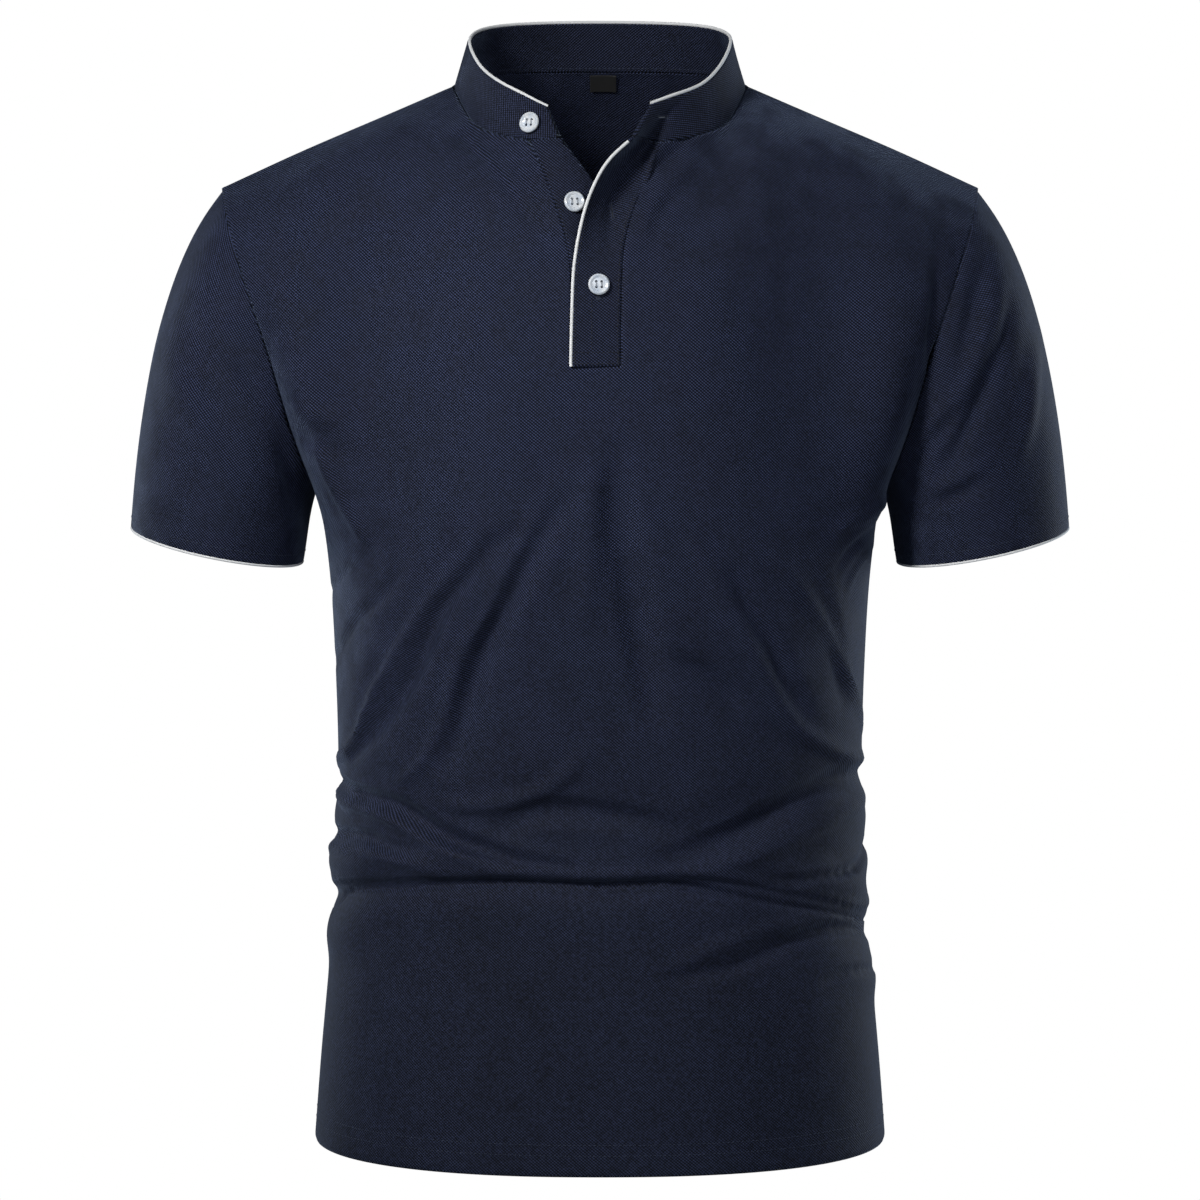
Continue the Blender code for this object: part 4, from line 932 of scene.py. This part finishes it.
# --- making the shirt ---------------------------------------------------------------------------------
PIQUE = navy_pique("navy_pique")
PAINTED_SHADE_PIQUE = navy_pique("painted_shade_pique", 0.82)  # a tone darker: painted shade on the band and strips
front = sewn_cloth("front_panel", "front", PIQUE)
back = sewn_cloth("back_panel", "back", PIQUE)
sleeve_right = sewn_cloth("sleeve_right_cloth", "sleeve_right", PIQUE, core=(-SLEEVE_MIDDLE, 0.0))
sleeve_left = sewn_cloth("sleeve_left_cloth", "sleeve_left", PIQUE, core=(SLEEVE_MIDDLE, 0.0))
band = sewn_cloth("collar_band_cloth", "collar_band", PAINTED_SHADE_PIQUE, wall=BAND)
strip_over = sewn_cloth("placket_over_cloth", "placket_over", PAINTED_SHADE_PIQUE)
strip_under = sewn_cloth("placket_under_cloth", "placket_under", PAINTED_SHADE_PIQUE)

NAVY_THREAD = sewing_thread("navy_thread", rgba(0.028, 0.040, 0.082))
# Painted shade: thread much darker than the cloth, for stitches sunk in shaded ditches and for slits in
# shade.
THREAD_IN_PAINTED_SHADE = sewing_thread("painted_shade_thread", rgba(0.007, 0.010, 0.022))
PALE_THREAD = sewing_thread("pale_thread", rgba(0.55, 0.60, 0.68))
WHITE_BRAID = white_braid()
RESIN = pearly_resin()
TAPE = woven_tape()

# Hems: two rows round the body, one round each sleeve.
for panel, side_name in ((front, "front"), (back, "back")):
    hem = edge_of(panel, lambda place, inward: place.z < -0.6 and inward.z > 0.8, around_body)
    for number, above in enumerate(HEM_ROWS, 1):
        stitch_row(f"hem_stitches_{side_name}_{number}", panel, laid_on(panel, hem, above), NAVY_THREAD)
for word, side, sleeve in (("right", -1, sleeve_right), ("left", 1, sleeve_left)):
    cuff = edge_of(sleeve, lambda place, inward: place.z < -0.2 and inward.z > 0.5, around_cuff(side))
    cuff.append(cuff[0])
    stitch_row(f"cuff_stitches_{word}", sleeve, laid_on(sleeve, cuff, CUFF_ROW), NAVY_THREAD)
    piping(f"cuff_braid_{word}", f"cuff_piping_{word}", cuff, CUFF_BRAID, KNIT, closed=True)

# The band: white braid on its top edge, a row inside the back of the neck where it joins the shirt.
band_top = edge_of(band, on_band_top, around_neck)
piping("collar_braid", "collar_piping", band_top, NECK_BRAID, BAND)
band_foot = edge_of(band, lambda place, inward: inward.z > 0.4 and place.y > 0.0, around_neck)
inner = [(place - normal * BAND, -normal) for place, normal in laid_on(band, band_foot, NECK_ROW)]
stitch_row("neck_seam_stitches", band, inner, NAVY_THREAD)

# The over strip: braid on its free edge, rows beside both edges and the box at its foot.
free_edge = edge_of(strip_over, lambda place, inward: inward.x > -0.02 and inward.z < 0.85, downward)
piping("placket_braid", "placket_piping", free_edge, NECK_BRAID, KNIT)
sewn_edge = edge_of(strip_over, lambda place, inward: inward.x < -0.5, downward)
# These rows are in painted shade, for the shaded ditches they sink into.
stitch_row("placket_edge_stitches", strip_over, laid_on(strip_over, sewn_edge, PLACKET_ROW), THREAD_IN_PAINTED_SHADE)
stitch_row("placket_braid_stitches", strip_over, laid_on(strip_over, free_edge, PLACKET_ROW), THREAD_IN_PAINTED_SHADE)
box = [(BOX_RIGHT, BOX_FOOT), (BOX_LEFT, BOX_FOOT), (BOX_LEFT, BOX_TOP), (BOX_RIGHT, BOX_TOP)]
box.append(box[0])
stitch_row("placket_box_stitches", strip_over, from_front(strip_over, box), THREAD_IN_PAINTED_SHADE)
tack = [(TACK_SIDE, TACK_TOP), (TACK_SIDE, BOX_TOP)]
stitch_row("placket_tack_stitches", strip_over, from_front(strip_over, tack), THREAD_IN_PAINTED_SHADE)

# Buttons and buttonholes.
for number in (1, 2, 3):
    sewn_button(number)
BUTTONHOLES = (  # name, cloth, start, end, the slit's painted light
    # The band's slit is a painted highlight in pale thread; the strip's slits are painted shade in dark
    # thread.
    ("collar_buttonhole", band, (0.0335, -0.0198), (0.0412, -0.0196), PALE_THREAD),
    ("placket_buttonhole_upper", strip_over, (0.0064, -0.0700), (0.0078, -0.0800), THREAD_IN_PAINTED_SHADE),
    ("placket_buttonhole_lower", strip_over, (-0.0008, -0.1220), (-0.0010, -0.1265), THREAD_IN_PAINTED_SHADE),
)
for name, carrier, start, end, slit_painted_light in BUTTONHOLES:
    buttonhole(name, carrier, start, end, NAVY_THREAD, slit_painted_light)
label = woven_label()


# --- studio -------------------------------------------------------------------------------------------
CAMERA_PLACE = (0.0, -2.5, -0.05)
CAMERA_DOWN = 6.0734  # degrees below level
LENS = 121.65  # millimetres, on a 36 mm square sensor
FLOOR_HEIGHT, FLOOR_RADIUS = -1.40, 1.5  # the shirt is held at a standing wearer's height
ROOM_COLOUR, ROOM_LIGHT = rgba(0.84, 0.92, 1.0), 0.08
LAMPS = (  # name, place, aimed at, size, spread in degrees, watts, colour
    ("key", (-0.85, -1.20, 0.60), (-0.02, -0.1, -0.28), 0.35, 58, 2.20, (1.0, 0.985, 0.96)),
    ("front", (0.70, -1.8, 0.25), (0.05, 0, -0.28), 0.8, 60, 1.0, (0.96, 0.98, 1.0)),
    ("edge_right", (1.5, 0.85, -0.30), (0.1, 0, -0.35), 1.0, 180, 15, (0.80, 0.90, 1.0)),
    ("edge_left", (-1.5, 0.95, -0.30), (-0.1, 0, -0.35), 1.0, 180, 10, (0.80, 0.90, 1.0)),
)


def light(name, place, aim, size, spread, power, colour):
    lamp = bpy.data.lights.new(name, "AREA")
    lamp.shape = "SQUARE"
    lamp.size = size
    lamp.spread = math.radians(spread)
    lamp.energy = power
    lamp.color = colour
    holder = bpy.data.objects.new(name, lamp)
    bpy.context.scene.collection.objects.link(holder)
    holder.location = place
    holder.visible_camera = False
    holder.rotation_euler = (Vector(aim) - Vector(place)).to_track_quat("-Z", "Y").to_euler()


def studio():
    lens = bpy.data.cameras.new("camera")
    lens.lens, lens.sensor_width = LENS, 36.0
    camera = bpy.data.objects.new("camera", lens)
    camera.location = CAMERA_PLACE
    camera.rotation_euler = (math.radians(90 - CAMERA_DOWN), 0, 0)
    bpy.context.scene.collection.objects.link(camera)
    bpy.context.scene.camera = camera

    bm = bmesh.new()
    bmesh.ops.create_circle(bm, cap_ends=True, segments=96, radius=FLOOR_RADIUS)
    bmesh.ops.translate(bm, verts=bm.verts, vec=(0, 0, FLOOR_HEIGHT))
    pale = Finish("pale_floor", Base_Color=rgba(0.92, 0.92, 0.92), Roughness=0.9)
    floor = shown_object("floor", mesh_of("floor", bm), pale.material)

    world = bpy.data.worlds.new("studio")
    bpy.context.scene.world = world
    world.use_nodes = True
    nodes, links = world.node_tree.nodes, world.node_tree.links
    room = nodes["Background"]
    room.inputs["Color"].default_value = ROOM_COLOUR
    room.inputs["Strength"].default_value = ROOM_LIGHT
    wall = nodes.new("ShaderNodeBackground")
    wall.inputs["Color"].default_value = rgba(1.0, 1.0, 1.0)
    seen = nodes.new("ShaderNodeLightPath")
    either = nodes.new("ShaderNodeMixShader")
    links.new(seen.outputs["Is Camera Ray"], either.inputs[0])
    links.new(room.outputs[0], either.inputs[1])
    links.new(wall.outputs[0], either.inputs[2])
    links.new(either.outputs[0], nodes["World Output"].inputs[0])
    bpy.context.scene.view_settings.view_transform = "Standard"
    for lamp in LAMPS:
        light(*lamp)


studio()
